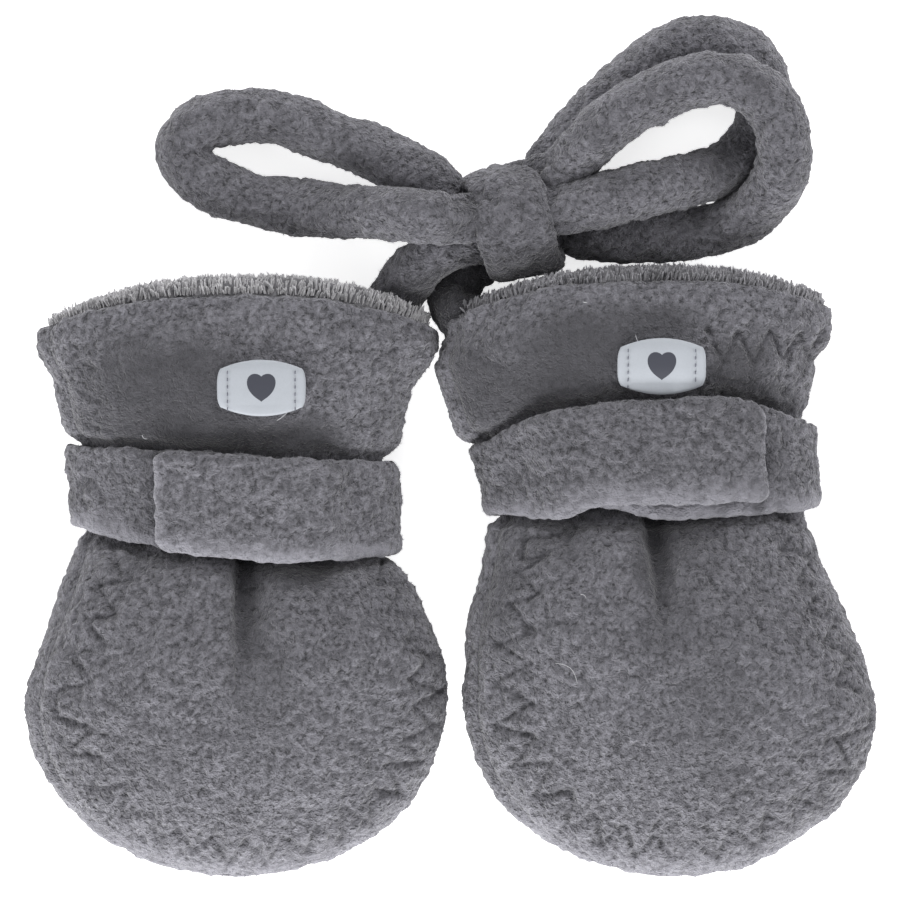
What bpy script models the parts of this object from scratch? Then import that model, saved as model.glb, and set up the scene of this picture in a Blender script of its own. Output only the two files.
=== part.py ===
"""Pair of fleece baby mittens, laid flat, joined by a soft cord tied in a bow.

Each mitten is a hollow pouch: a front and a back panel sewn together at the sides and round the
fingertips, a pile cuff lining, a wrist strap that goes round the back and under its own tab, and
a sewn-on label.  Lengths in the tables are millimetres; the objects are built in metres, +Z up.
X runs across the pair, +Y from the fingertips to the cuffs, and Z = 0 is the surface they lie on.
"""

import math
from collections import namedtuple

import bmesh
import bpy
import numpy as np
from mathutils import Vector

MM = 0.001

# Cloth thicknesses and the gap that neighbouring pieces keep
FLEECE = 2.2
LINING = 2.5
STRAP = 3.0
LABEL = 1.0
LABEL_SEAT = 0.4              # it rests on the tips of the nap
GAP = 0.3
LINING_ROUND = 0.8            # rounding of the lining's rim

# Round end of each pouch, and the form of its cross-sections
FINGER_LENGTH = 35.3          # from the widest line of the hand to the fingertip
DOME_POWER = 2.3              # roundness of the upper half of a section
BASE_POWER = 3.4              # squarer lower half, which lies on the surface
BASE_PRESS = 1.18             # how far the lower half would bulge below the surface it lies on
BOW_POWER = 2.6               # how the rim and the strap edges curve between their ends
LEFT_SEAM = 21.0              # degrees above the left edge where front and back panel meet
RIGHT_SEAM = 202.0            # the other seam, tucked below the right edge

# Strap edges: how far the strap stays inside the wrist rows, and its rounding
STRAP_MARGIN = 0.4
STRAP_ROUND = 0.9
TAB_CORNER = 2.4
TAB_CORNER_STEPS = (0.0, 0.5, 1.4)
STRAP_MEETS_TAB = 8.0         # degrees below the side edge where strap and tab are sewn together
SEAM_ALLOWANCE = 1.2          # degrees that the sewn ends of strap and tab stay apart

# Label: a barrel outline, straight at its ends
LABEL_LENGTH = 17.6
LABEL_HEIGHT = 11.2
LABEL_END_HEIGHT = 7.6
LABEL_OVERHANG = 2.2          # its lower edge stands free where the cuff dips to the strap
LABEL_COLUMNS = (-1.0, -0.75, -0.4, 0.0, 0.4, 0.75, 1.0)
LABEL_ROWS = (-1.0, -0.4, 0.4, 1.0)

# Cord
CORD_DIAMETER = 10.8
CORD_STEP = 5.6               # distance between the points of its tubes
CORD_SIDES = 3                # bevel resolution: ten sides

# One row for each section of a pouch: its distance from the fingertip, where its left and right
# edges lie, how far its middle bows towards the cuff, and its top, side and underside heights.
Section = namedtuple("Section", "along left_x left_y right_x right_y bow top side floor")

LEFT_SECTIONS = (
    Section(35.3, -85.0, -25.4, -0.8, -25.4, 0.0, 25.0, 9.5, 0.0),      # widest line of the hand
    Section(41.7, -83.7, -19.0, -1.3, -19.0, -0.4, 25.2, 9.5, 0.0),
    Section(49.0, -80.9, -11.4, -3.4, -12.2, -1.0, 24.4, 9.5, 0.0),
    Section(57.0, -77.8, -3.4, -7.0, -4.2, -2.0, 22.6, 9.5, 0.0),
    Section(63.0, -75.3, 4.2, -9.8, 0.6, -2.8, 20.6, 9.5, 0.6),
    Section(65.0, -74.7, 6.4, -11.0, 2.0, -3.1, 19.0, 9.5, 1.6),        # hand swells to the strap
    Section(67.0, -73.0, 8.8, -13.4, 3.8, -3.4, 15.6, 9.5, 3.3),        # wrist, strap's lower edge
    Section(85.0, -73.8, 25.8, -13.6, 22.6, 0.0, 16.2, 9.5, 3.3),       # wrist, strap's upper edge
    Section(87.4, -76.6, 27.8, -11.0, 25.4, 0.5, 19.4, 9.5, 1.4),
    Section(94.2, -78.5, 33.8, -8.8, 33.0, 2.0, 21.4, 9.0, 0.0),
    Section(98.2, -79.3, 37.8, -7.6, 37.0, 3.0, 21.6, 9.0, 0.0),
    Section(102.8, -81.8, 41.8, -4.3, 42.2, 4.0, 21.2, 9.0, 0.0),       # cuff flares
    Section(106.4, -83.0, 45.6, -2.7, 45.6, 5.2, 20.6, 9.0, 0.0),
    Section(110.0, -82.6, 48.8, -2.7, 49.0, 6.3, 20.0, 9.0, 0.0),       # rim of the fleece
    Section(113.2, -82.0, 50.4, -3.0, 52.4, 7.4, 19.6, 9.0, 0.0),       # rim of the lining
)

RIGHT_SECTIONS = (
    Section(35.3, 2.4, -24.2, 85.0, -26.6, 0.0, 25.0, 9.5, 0.0),        # widest line of the hand
    Section(43.3, 2.6, -16.4, 82.7, -18.4, 0.0, 25.2, 9.5, 0.0),
    Section(51.6, 3.6, -7.8, 79.4, -10.4, -0.4, 24.2, 9.5, 0.0),
    Section(59.0, 5.4, -1.8, 75.6, -1.4, -0.8, 22.6, 9.5, 0.0),
    Section(66.4, 6.8, 5.2, 72.2, 6.2, -1.2, 20.6, 9.5, 0.6),
    Section(70.6, 7.6, 9.2, 70.8, 10.2, -1.4, 19.0, 9.5, 1.6),          # hand swells to the strap
    Section(72.8, 9.8, 11.4, 70.6, 12.6, -1.6, 15.6, 9.5, 3.3),         # wrist, strap's lower edge
    Section(89.0, 6.2, 25.4, 70.0, 30.0, 7.4, 16.2, 9.5, 3.3),          # wrist, strap's upper edge
    Section(91.4, 1.8, 27.4, 70.4, 32.6, 7.2, 19.4, 9.5, 1.4),
    Section(95.6, -0.8, 34.0, 71.2, 35.6, 6.6, 21.2, 9.0, 0.0),
    Section(98.7, -2.3, 37.6, 72.2, 38.2, 6.6, 21.6, 9.0, 0.0),
    Section(102.4, -3.2, 41.0, 72.8, 42.2, 6.4, 21.2, 9.0, 0.0),
    Section(107.3, -1.7, 46.0, 76.0, 47.0, 6.2, 20.6, 9.0, 0.0),        # cuff flares
    Section(112.5, -0.8, 51.0, 76.4, 53.4, 6.0, 20.0, 9.0, 0.0),        # rim of the fleece
    Section(115.2, 0.4, 53.4, 75.8, 55.4, 6.2, 19.6, 9.0, 0.0),         # rim of the lining
)

# Folds pressed into the front: from, to, half-width and depth of each soft trough
Fold = namedtuple("Fold", "from_x from_y to_x to_y width depth")

LEFT_FOLDS = (
    Fold(-41.4, 5.0, -41.0, -26.0, 2.6, 4.6),       # central crease below the strap
    Fold(-31.0, 2.0, -25.0, -9.0, 4.6, 1.8),        # hollow beside it
)
RIGHT_FOLDS = (
    Fold(37.8, 12.0, 43.6, -22.0, 3.0, 4.4),
    Fold(49.0, 12.0, 54.0, 0.0, 4.6, 1.6),
)
FOLD_ONSET = 4.0                                    # length over which a trough deepens

# Strap tab: where its free end stops, as a share of the half-width; which way it is turned; and
# how far its lower and upper edges stand from the strap's
Tab = namedtuple("Tab", "free_end sewn_right lower_shift upper_shift")
LEFT_TAB = Tab(free_end=-0.44, sewn_right=True, lower_shift=-0.3, upper_shift=0.0)
RIGHT_TAB = Tab(free_end=0.64, sewn_right=False, lower_shift=2.2, upper_shift=-0.1)
STRAP_UNDER_TAB = 0.42        # share of the half-width that the strap reaches under its tab
TAB_CLEAR_OF_END = 0.04       # share past the strap's hidden end where the tab starts to climb
TAB_CLIMB = 0.34              # share over which the tab climbs on the strap

Mitten = namedtuple("Mitten", "side sections folds tab label_x label_y")
MITTENS = (
    Mitten("left", LEFT_SECTIONS, LEFT_FOLDS, LEFT_TAB, -37.6, 36.9),
    Mitten("right", RIGHT_SECTIONS, RIGHT_FOLDS, RIGHT_TAB, 41.8, 41.2),
)
WIDEST_ROW, WRIST_LOW_ROW, WRIST_HIGH_ROW, RIM_ROW, LINING_ROW = 0, 6, 7, 13, 14

# Routes of the cord's tubes: x, y, height and how far the cord is squeezed there
RoutePoint = namedtuple("RoutePoint", "x y z squeeze")

LEFT_TAIL = (
    RoutePoint(-10.4, 56.1, 7.4, 0.88), RoutePoint(-7.5, 60.1, 9.2, 0.90),
    RoutePoint(-4.0, 63.0, 10.6, 0.86), RoutePoint(0.2, 65.4, 10.2, 0.73),
    RoutePoint(4.4, 66.3, 9.6, 0.60),
)
LEFT_LOOP = (
    RoutePoint(1.9, 74.2, 4.3, 0.56), RoutePoint(-0.6, 75.1, 5.0, 0.77),
    RoutePoint(-4.2, 78.2, 5.5, 0.96), RoutePoint(-10.0, 81.6, 5.5, 1.0),
    RoutePoint(-18.0, 85.2, 5.5, 1.0), RoutePoint(-24.4, 87.5, 5.5, 1.0),
    RoutePoint(-30.4, 89.8, 5.5, 1.0), RoutePoint(-36.2, 91.3, 5.5, 1.0),
    RoutePoint(-42.2, 91.7, 5.5, 1.0), RoutePoint(-48.2, 90.8, 5.5, 1.0),
    RoutePoint(-52.3, 88.4, 5.5, 1.0), RoutePoint(-54.0, 84.8, 5.5, 1.0),
    RoutePoint(-52.2, 81.0, 5.5, 1.0), RoutePoint(-48.6, 78.2, 5.5, 1.0),
    RoutePoint(-45.2, 76.7, 5.5, 1.0), RoutePoint(-39.2, 74.8, 5.6, 1.0),
    RoutePoint(-33.2, 73.6, 5.9, 1.0), RoutePoint(-27.2, 72.7, 7.2, 1.0),
    RoutePoint(-21.2, 72.2, 9.6, 1.0), RoutePoint(-15.2, 71.9, 12.6, 1.0),
    RoutePoint(-9.2, 71.6, 15.4, 1.0), RoutePoint(-3.8, 71.1, 16.8, 0.94),
    RoutePoint(-0.5, 70.6, 15.9, 0.74), RoutePoint(2.8, 71.0, 15.3, 0.59),
)
FRONT_LOOP = (
    RoutePoint(21.8, 68.9, 4.2, 0.60), RoutePoint(25.6, 68.4, 4.8, 0.82),
    RoutePoint(30.8, 68.0, 5.5, 1.0), RoutePoint(39.2, 67.9, 5.5, 1.0),
    RoutePoint(46.0, 68.2, 5.6, 0.98), RoutePoint(52.6, 69.0, 6.3, 0.94),
    RoutePoint(58.4, 71.2, 8.8, 0.94), RoutePoint(63.0, 75.0, 12.2, 0.97),
    RoutePoint(65.6, 79.6, 15.0, 1.0), RoutePoint(66.3, 85.2, 16.4, 1.0),
    RoutePoint(64.8, 91.6, 16.6, 1.0), RoutePoint(60.6, 96.3, 16.6, 1.0),
    RoutePoint(54.4, 98.5, 16.6, 1.0), RoutePoint(47.8, 97.9, 16.6, 1.0),
    RoutePoint(41.8, 95.7, 16.6, 1.0), RoutePoint(35.8, 92.7, 16.6, 1.0),
    RoutePoint(30.4, 88.7, 16.2, 0.95), RoutePoint(26.0, 84.3, 14.8, 0.78),
    RoutePoint(22.8, 81.4, 13.4, 0.66), RoutePoint(20.4, 79.8, 12.6, 0.58),
)
REAR_LOOP = (
    RoutePoint(20.8, 72.1, 14.2, 0.60), RoutePoint(24.2, 72.9, 14.4, 0.76),
    RoutePoint(28.2, 74.0, 14.5, 0.92), RoutePoint(33.2, 75.2, 14.4, 1.0),
    RoutePoint(39.8, 76.6, 13.6, 1.0), RoutePoint(47.8, 78.6, 11.6, 0.96),
    RoutePoint(54.8, 81.0, 8.4, 0.93), RoutePoint(59.6, 85.0, 5.9, 0.95),
    RoutePoint(62.6, 91.0, 5.5, 1.0), RoutePoint(62.8, 98.0, 5.5, 1.0),
    RoutePoint(59.8, 103.2, 5.5, 1.0), RoutePoint(54.6, 106.0, 5.5, 1.0),
    RoutePoint(48.2, 106.2, 5.5, 1.0), RoutePoint(42.0, 103.8, 5.5, 1.0),
    RoutePoint(36.6, 99.2, 5.5, 1.0), RoutePoint(31.4, 94.4, 5.5, 1.0),
    RoutePoint(26.6, 89.6, 5.2, 0.90), RoutePoint(22.2, 84.8, 4.7, 0.74),
    RoutePoint(19.0, 81.6, 4.2, 0.60),
)
RIGHT_TAIL = (
    RoutePoint(4.8, 61.7, 4.0, 0.64), RoutePoint(3.2, 60.6, 4.3, 0.76),
    RoutePoint(0.8, 56.3, 4.3, 0.78),
)

# Knot: the cord's own turn round the waist of the bow, a barrel on a slanting axis
KNOT_CENTRE = (12.4, 70.2, 9.7)
KNOT_SLANT = 12.0             # degrees that its axis turns from X towards Y
KNOT_LENGTH = 14.6
KNOT_HALF_WIDTH = 11.8
KNOT_HALF_HEIGHT = 9.6
KNOT_ROUND = 2.6
KNOT_POWER = 2.5
KNOT_SIDES = 24

# How finely the forms are faceted: degrees round the fingertip, and the columns of each panel,
# closer together at the crease in the front and wider apart on the flat underside
FINGERTIP_TURNS = (0.0, 12.0, 26.0, 42.0, 58.0, 74.0)
FRONT_COLUMNS = 19
BACK_COLUMNS = 12
CREASE_ANGLE, CREASE_SPREAD, CREASE_PULL = 90.0, 12.0, 2.0
FLAT_ANGLE, FLAT_SPREAD, FLAT_PULL = 270.0, 60.0, -0.6
CURVE_STEPS = 12
WELD = 0.002
SHARP_ANGLE = 50.0

# Plain colours: red, green, blue, roughness
FLEECE_GREY = (0.150, 0.148, 0.170, 0.95)
STRAP_GREY = (0.165, 0.163, 0.186, 0.95)
PILE_GREY = (0.320, 0.315, 0.330, 0.95)
LABEL_WHITE = (0.520, 0.560, 0.620, 0.70)


def clear_scene():
    """Remove whatever the file opened with."""
    for thing in list(bpy.data.objects):
        bpy.data.objects.remove(thing, do_unlink=True)


def smooth_value(positions, values, at):
    """Monotone cubic through the rows, level at the first one."""
    steps = np.diff(positions)
    slopes = np.diff(values) / steps
    tangents = np.zeros(len(values))
    for i in range(1, len(values) - 1):
        if slopes[i - 1] * slopes[i] > 0:
            before = 2 * steps[i] + steps[i - 1]
            after = steps[i] + 2 * steps[i - 1]
            tangents[i] = (before + after) / (before / slopes[i - 1] + after / slopes[i])
    tangents[-1] = slopes[-1]
    i = int(np.clip(np.searchsorted(positions, at) - 1, 0, len(steps) - 1))
    t = (at - positions[i]) / steps[i]
    start = (1 + 2 * t) * (1 - t) ** 2 * values[i] + t * (1 - t) ** 2 * steps[i] * tangents[i]
    end = t * t * (3 - 2 * t) * values[i + 1] - t * t * (1 - t) * steps[i] * tangents[i + 1]
    return float(start + end)


def soft_step(low, high, value):
    """0 below low, 1 above high, with a smooth rise between them."""
    t = min(1.0, max(0.0, (value - low) / (high - low)))
    return t * t * (3 - 2 * t)


def row_at(sections, along):
    """The section at any distance from the fingertip, past the widest line of the hand."""
    positions = [row.along for row in sections]
    columns = [[getattr(row, name) for row in sections] for name in Section._fields]
    return Section(*(smooth_value(positions, column, along) for column in columns))


def fold_depth(folds, x, y):
    """How far the troughs of the front panel sink at one place."""
    depth = 0.0
    for fold in folds:
        run = Vector((fold.to_x - fold.from_x, fold.to_y - fold.from_y))
        offset = Vector((x - fold.from_x, y - fold.from_y))
        length = run.length
        travel = offset.dot(run) / length
        across = (offset.x * run.y - offset.y * run.x) / length
        fade = soft_step(-FOLD_ONSET, FOLD_ONSET, travel) * (1 - soft_step(0, length, travel))
        depth += fold.depth * fade * math.exp(-(across / fold.width) ** 2)
    return depth


def pouch_point(mitten, along, degrees, inset=0.0, folded=True):
    """A point of a pouch's form, or of a layer inside it (inset) or round it (negative inset).

    degrees goes round the section: 0 at its left edge, 90 on top, 180 at its right edge.
    """
    sections = mitten.sections
    row = row_at(sections, max(along, sections[WIDEST_ROW].along))
    left = Vector((row.left_x, row.left_y))
    right = Vector((row.right_x, row.right_y))
    middle = (left + right) / 2
    half = (right - left) / 2
    half -= half.normalized() * inset
    crown = row.top - row.side - inset
    keel = row.side - row.floor - inset
    if along < sections[WIDEST_ROW].along:
        turn = math.acos(max(-1.0, 1 - along / FINGER_LENGTH))
        outwards = Vector((half.y, -half.x)).normalized()
        middle = middle + outwards * (FINGER_LENGTH - inset) * math.cos(turn)
        half = half * math.sin(turn)
        crown *= math.sin(turn)
        keel *= math.sin(turn)
    cosine = math.cos(math.radians(degrees))
    sine = math.sin(math.radians(degrees))
    power = 2 / (DOME_POWER if sine >= 0 else BASE_POWER)
    share = -math.copysign(abs(cosine) ** power, cosine)
    place = middle + half * share
    place.y += row.bow * (1 - abs(share) ** BOW_POWER)
    if sine >= 0:
        height = row.side + crown * sine ** power
        if folded:
            height -= fold_depth(mitten.folds, place.x, place.y) * sine
    else:
        height = row.side - min(keel, keel * BASE_PRESS * (-sine) ** power)
    return Vector((place.x, place.y, height))


def shift_along_section(mitten, along, degrees, distance):
    """The angle that lies a distance further round a section of the outer form."""
    step = 1.0
    here = pouch_point(mitten, along, degrees)
    there = pouch_point(mitten, along, degrees + step)
    speed = max((there - here).length, 0.02)
    return degrees + min(abs(distance) / speed, 4.0) * math.copysign(step, distance)


def form_height(mitten, x, y):
    """Height of the front of a mitten's form at one place on the plan."""
    along = 100.0
    share = 0.0
    for _ in range(12):
        row = row_at(mitten.sections, along)
        half = (row.right_x - row.left_x) / 2
        share = max(-1.0, min(1.0, (x - (row.left_x + row.right_x) / 2) / half))
        level = row.left_y + (row.right_y - row.left_y) * (1 + share) / 2
        along += y - level - row.bow * (1 - abs(share) ** BOW_POWER)
    cosine = -math.copysign(abs(share) ** (DOME_POWER / 2), share)
    degrees = math.degrees(math.acos(cosine))
    return pouch_point(mitten, along, degrees).z


def finish_mesh(name, mesh, colour):
    """Weld, orient and shade a bmesh, and make it an object with its own material."""
    bmesh.ops.remove_doubles(mesh, verts=mesh.verts, dist=WELD * MM)
    bmesh.ops.dissolve_degenerate(mesh, edges=mesh.edges, dist=WELD * MM)
    bmesh.ops.triangulate(mesh, faces=mesh.faces)
    bmesh.ops.recalc_face_normals(mesh, faces=mesh.faces)
    data = bpy.data.meshes.new(name)
    mesh.to_mesh(data)
    mesh.free()
    data.shade_smooth()
    data.set_sharp_from_angle(angle=math.radians(SHARP_ANGLE))
    thing = bpy.data.objects.new(name, data)
    bpy.context.scene.collection.objects.link(thing)
    colour_object(thing, colour)
    return thing


def colour_object(thing, colour):
    """Give an object a material of its own."""
    material = bpy.data.materials.new(thing.name)
    material.use_nodes = True
    shader = material.node_tree.nodes["Principled BSDF"]
    shader.inputs["Base Color"].default_value = (*colour[:3], 1.0)
    shader.inputs["Roughness"].default_value = colour[3]
    shader.inputs["Metallic"].default_value = 0.0
    thing.data.materials.append(material)


def sweep(name, loops, colour, closed=False, capped=True):
    """A solid through a row of closed outlines, given in millimetres."""
    mesh = bmesh.new()
    rings = [[mesh.verts.new(point * MM) for point in loop] for loop in loops]
    pairs = list(zip(rings, rings[1:] + rings[:1])) if closed else list(zip(rings, rings[1:]))
    for ring, following in pairs:
        for i in range(len(ring)):
            j = (i + 1) % len(ring)
            mesh.faces.new((ring[i], ring[j], following[j], following[i]))
    if capped and not closed:
        mesh.faces.new(rings[0])
        mesh.faces.new(rings[-1])
    return finish_mesh(name, mesh, colour)


def walled_panel(name, outer, inner, colour):
    """A cloth wall between two grids of points, whose first row is a single point."""
    mesh = bmesh.new()
    outside = [[mesh.verts.new(point * MM) for point in column] for column in outer]
    inside = [[mesh.verts.new(point * MM) for point in column] for column in inner]
    rows = len(outer[0])
    for j in range(len(outer) - 1):
        for i in range(rows - 1):
            mesh.faces.new((outside[j][i], outside[j][i + 1], outside[j + 1][i + 1], outside[j + 1][i]))
            mesh.faces.new((inside[j][i], inside[j + 1][i], inside[j + 1][i + 1], inside[j][i + 1]))
        mesh.faces.new((outside[j][-1], inside[j][-1], inside[j + 1][-1], outside[j + 1][-1]))
    for j in (0, -1):
        for i in range(rows - 1):
            mesh.faces.new((outside[j][i], inside[j][i], inside[j][i + 1], outside[j][i + 1]))
    return finish_mesh(name, mesh, colour)


def strap_edges(mitten):
    """Where the strap's lower and upper edges lie along the arm."""
    low = mitten.sections[WRIST_LOW_ROW].along + STRAP_MARGIN
    high = mitten.sections[WRIST_HIGH_ROW].along - STRAP_MARGIN
    return low, high


def panel_rows(mitten):
    """Distances from the fingertip: close together at the fingertip and where the form turns."""
    tip = [FINGER_LENGTH * (1 - math.cos(math.radians(turn))) for turn in FINGERTIP_TURNS]
    knots = [row.along for row in mitten.sections[:RIM_ROW + 1]]
    low, high = strap_edges(mitten)
    below_strap = [low + STRAP_ROUND, (low + high) / 2, high - STRAP_ROUND]
    return sorted(tip + knots + below_strap)


def spread_angles(start, end, count, crowded, width, pull):
    """Angles from start to end, closer together round one of them."""
    samples = np.linspace(start, end, 400)
    density = 1 + pull * np.exp(-((samples - crowded) / width) ** 2)
    share = np.concatenate(([0.0], np.cumsum((density[1:] + density[:-1]) / 2)))
    angles = np.interp(np.linspace(0, share[-1], count), share, samples)
    angles[0] = start
    angles[-1] = end
    return angles


FRONT_ANGLES = spread_angles(LEFT_SEAM, RIGHT_SEAM, FRONT_COLUMNS,
                             CREASE_ANGLE, CREASE_SPREAD, CREASE_PULL)
BACK_ANGLES = spread_angles(RIGHT_SEAM, 360 + LEFT_SEAM, BACK_COLUMNS,
                            FLAT_ANGLE, FLAT_SPREAD, FLAT_PULL)


def layer_angles(start, end):
    """The panels' own angles from start to end, so that a layer's facets lie on theirs."""
    around = np.concatenate((FRONT_ANGLES, BACK_ANGLES[1:-1]))
    every = np.unique(np.concatenate((around - 360, around, around + 360)))
    low, high = min(start, end), max(start, end)
    inside = [angle for angle in every if low + 1 < angle < high - 1]
    angles = [low] + inside + [high]
    return angles if start < end else angles[::-1]


def make_panel(mitten, name, angles, lift):
    """The front or the back of a pouch, from one side seam to the other."""
    outer = []
    inner = []
    for degrees in angles:
        outside = []
        inside = []
        for along in panel_rows(mitten):
            angle = degrees
            if degrees == angles[0]:
                angle = shift_along_section(mitten, along, degrees, GAP / 2)
            if degrees == angles[-1]:
                angle = shift_along_section(mitten, along, degrees, -GAP / 2)
            raised = Vector((0, 0, lift if along == 0 else 0))
            outside.append(pouch_point(mitten, along, angle) + raised)
            inside.append(pouch_point(mitten, along, angle, FLEECE) + raised)
        outer.append(outside)
        inner.append(inside)
    return walled_panel(name, outer, inner, FLEECE_GREY)


def make_pouch(mitten):
    """Front and back panel, half a gap from their common seams."""
    make_panel(mitten, f"{mitten.side}_front_panel", FRONT_ANGLES, GAP / 2)
    make_panel(mitten, f"{mitten.side}_back_panel", BACK_ANGLES, -GAP / 2)


def make_lining(mitten):
    """Pile lining: a ring inside the cuff that stands out a little past the fleece rim."""
    outside = FLEECE + GAP
    inside = outside + LINING
    soft = LINING_ROUND
    rim = mitten.sections[LINING_ROW].along
    rows = [mitten.sections[i].along for i in range(WRIST_HIGH_ROW + 1, RIM_ROW + 1)]
    outline = [(along, outside) for along in rows]
    outline += [(rim - soft, outside), (rim, outside + soft), (rim, inside - soft)]
    outline += [(along, inside) for along in [rim - soft] + rows[::-1]]
    around = np.concatenate((FRONT_ANGLES, BACK_ANGLES[1:-1]))
    loops = []
    for degrees in around:
        loops.append([pouch_point(mitten, along, degrees, inset) for along, inset in outline])
    return sweep(f"{mitten.side}_cuff_lining", loops, PILE_GREY, closed=True)


def band_outline(low, high, near, far):
    """Cross-section of a strap: a rectangle with rounded edges, along the arm and out from it."""
    soft = STRAP_ROUND
    middle = (low + high) / 2
    return [(low + soft, near), (middle, near), (high - soft, near), (high, near + soft),
            (high, far - soft), (high - soft, far), (middle, far), (low + soft, far),
            (low, far - soft), (low, near + soft)]


def share_to_degrees(share):
    """Angle on the top half of a section where it has gone a share of its half-width."""
    cosine = -math.copysign(abs(share) ** (DOME_POWER / 2), share)
    return math.degrees(math.acos(cosine))


def make_strap(mitten):
    """The strap: from under its tab, round one side and the back, to the seam with the tab."""
    towards = 1 if mitten.tab.sewn_right else -1
    low, high = strap_edges(mitten)
    start = share_to_degrees(STRAP_UNDER_TAB * towards)
    end = -180 + STRAP_MEETS_TAB if mitten.tab.sewn_right else 360 - STRAP_MEETS_TAB
    outline = band_outline(low, high, GAP, GAP + STRAP)
    loops = []
    for degrees in layer_angles(start, end):
        loops.append([pouch_point(mitten, along, degrees, -out, False) for along, out in outline])
    return sweep(f"{mitten.side}_wrist_strap", loops, STRAP_GREY)


def make_tab(mitten):
    """The tab: from the side seam it climbs on the strap and lies over it."""
    tab = mitten.tab
    towards = 1 if tab.sewn_right else -1
    strap_low, strap_high = strap_edges(mitten)
    wrist = mitten.sections[WRIST_LOW_ROW]
    half_width = (wrist.right_x - wrist.left_x) / 2
    free = share_to_degrees(tab.free_end)
    below = STRAP_MEETS_TAB - SEAM_ALLOWANCE
    sewn = 180 + below if tab.sewn_right else -below
    on_strap = share_to_degrees((STRAP_UNDER_TAB + TAB_CLEAR_OF_END) * towards)
    off_strap = share_to_degrees((STRAP_UNDER_TAB + TAB_CLIMB) * towards)
    corner = [free + towards * math.degrees(step / half_width) for step in TAB_CORNER_STEPS]
    past_corner = free + towards * math.degrees(TAB_CORNER / half_width)
    loops = []
    for degrees in corner + list(layer_angles(past_corner, sewn)):
        climb = 1 - soft_step(0, abs(off_strap - on_strap), towards * (degrees - on_strap))
        near = GAP + (GAP + STRAP) * climb
        from_end = math.radians(abs(degrees - free)) * half_width
        trim = 0.0
        if from_end < TAB_CORNER:
            trim = TAB_CORNER - math.sqrt(TAB_CORNER ** 2 - (TAB_CORNER - from_end) ** 2)
        low = strap_low + tab.lower_shift * climb + trim
        high = strap_high + tab.upper_shift * climb - trim
        outline = band_outline(low, high, near, near + STRAP)
        loops.append([pouch_point(mitten, along, degrees, -out, False) for along, out in outline])
    return sweep(f"{mitten.side}_strap_tab", loops, STRAP_GREY)


def make_label(mitten):
    """Sewn-on label: a thin patch on the cuff, following the fleece below it."""
    free_edge = mitten.label_y - LABEL_HEIGHT / 2 + LABEL_OVERHANG
    loops = []
    for share in LABEL_COLUMNS:
        x = mitten.label_x + share * LABEL_LENGTH / 2
        reach = (LABEL_END_HEIGHT + (LABEL_HEIGHT - LABEL_END_HEIGHT) * (1 - share * share)) / 2
        lower = []
        upper = []
        for part in LABEL_ROWS:
            y = mitten.label_y + part * reach
            seat = form_height(mitten, x, max(y, free_edge)) + LABEL_SEAT
            lower.append(Vector((x, y, seat)))
            upper.append(Vector((x, y, seat + LABEL)))
        loops.append(lower + upper[::-1])
    return sweep(f"{mitten.side}_label", loops, LABEL_WHITE)


def smooth_route(route):
    """Points at even steps on a smooth curve through a route, with its squeeze."""
    points = [np.array(point) for point in route]
    points = [2 * points[0] - points[1]] + points + [2 * points[-1] - points[-2]]
    fine = []
    for i in range(1, len(points) - 2):
        a, b, c, d = points[i - 1:i + 3]
        for t in np.linspace(0, 1, CURVE_STEPS, endpoint=False):
            fine.append(0.5 * (2 * b + (c - a) * t + (2 * a - 5 * b + 4 * c - d) * t ** 2
                               + (3 * b - a - 3 * c + d) * t ** 3))
    fine.append(points[-2])
    fine = np.array(fine)
    travel = np.concatenate(([0.0], np.cumsum(np.linalg.norm(np.diff(fine[:, :3], axis=0), axis=1))))
    count = max(3, int(round(travel[-1] / CORD_STEP)) + 1)
    even = np.linspace(0, travel[-1], count)
    return np.column_stack([np.interp(even, travel, fine[:, k]) for k in range(4)])


def make_cord_tube(name, route):
    """One free stretch of the cord: a round tube with closed ends."""
    points = smooth_route(route)
    curve = bpy.data.curves.new(name, "CURVE")
    curve.dimensions = "3D"
    curve.bevel_depth = CORD_DIAMETER / 2 * MM
    curve.bevel_resolution = CORD_SIDES
    curve.use_fill_caps = True
    spline = curve.splines.new("POLY")
    spline.points.add(len(points) - 1)
    for target, (x, y, z, squeeze) in zip(spline.points, points):
        target.co = (x * MM, y * MM, z * MM, 1.0)
        target.radius = squeeze
    thing = bpy.data.objects.new(name, curve)
    bpy.context.scene.collection.objects.link(thing)
    colour_object(thing, FLEECE_GREY)
    return thing


def make_knot():
    """The turn of cord round the waist of the bow, as one closed barrel."""
    slant = math.radians(KNOT_SLANT)
    axis = Vector((math.cos(slant), math.sin(slant), 0))
    across = Vector((-math.sin(slant), math.cos(slant), 0))
    centre = Vector(KNOT_CENTRE)
    loops = []
    half = KNOT_LENGTH / 2
    waist = half - KNOT_ROUND
    shoulder = half - KNOT_ROUND * 0.3
    for position in (-half, -shoulder, -waist, 0, waist, shoulder, half):
        from_end = half - abs(position)
        trim = 0.0
        if from_end < KNOT_ROUND:
            trim = KNOT_ROUND - math.sqrt(KNOT_ROUND ** 2 - (KNOT_ROUND - from_end) ** 2)
        loop = []
        for degrees in np.linspace(0, 360, KNOT_SIDES, endpoint=False):
            cosine = math.cos(math.radians(degrees))
            sine = math.sin(math.radians(degrees))
            wide = math.copysign(abs(cosine) ** (2 / KNOT_POWER), cosine) * (KNOT_HALF_WIDTH - trim)
            high = math.copysign(abs(sine) ** (2 / KNOT_POWER), sine) * (KNOT_HALF_HEIGHT - trim)
            loop.append(centre + axis * position + across * wide + Vector((0, 0, high)))
        loops.append(loop)
    return sweep("cord_knot", loops, FLEECE_GREY)


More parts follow.
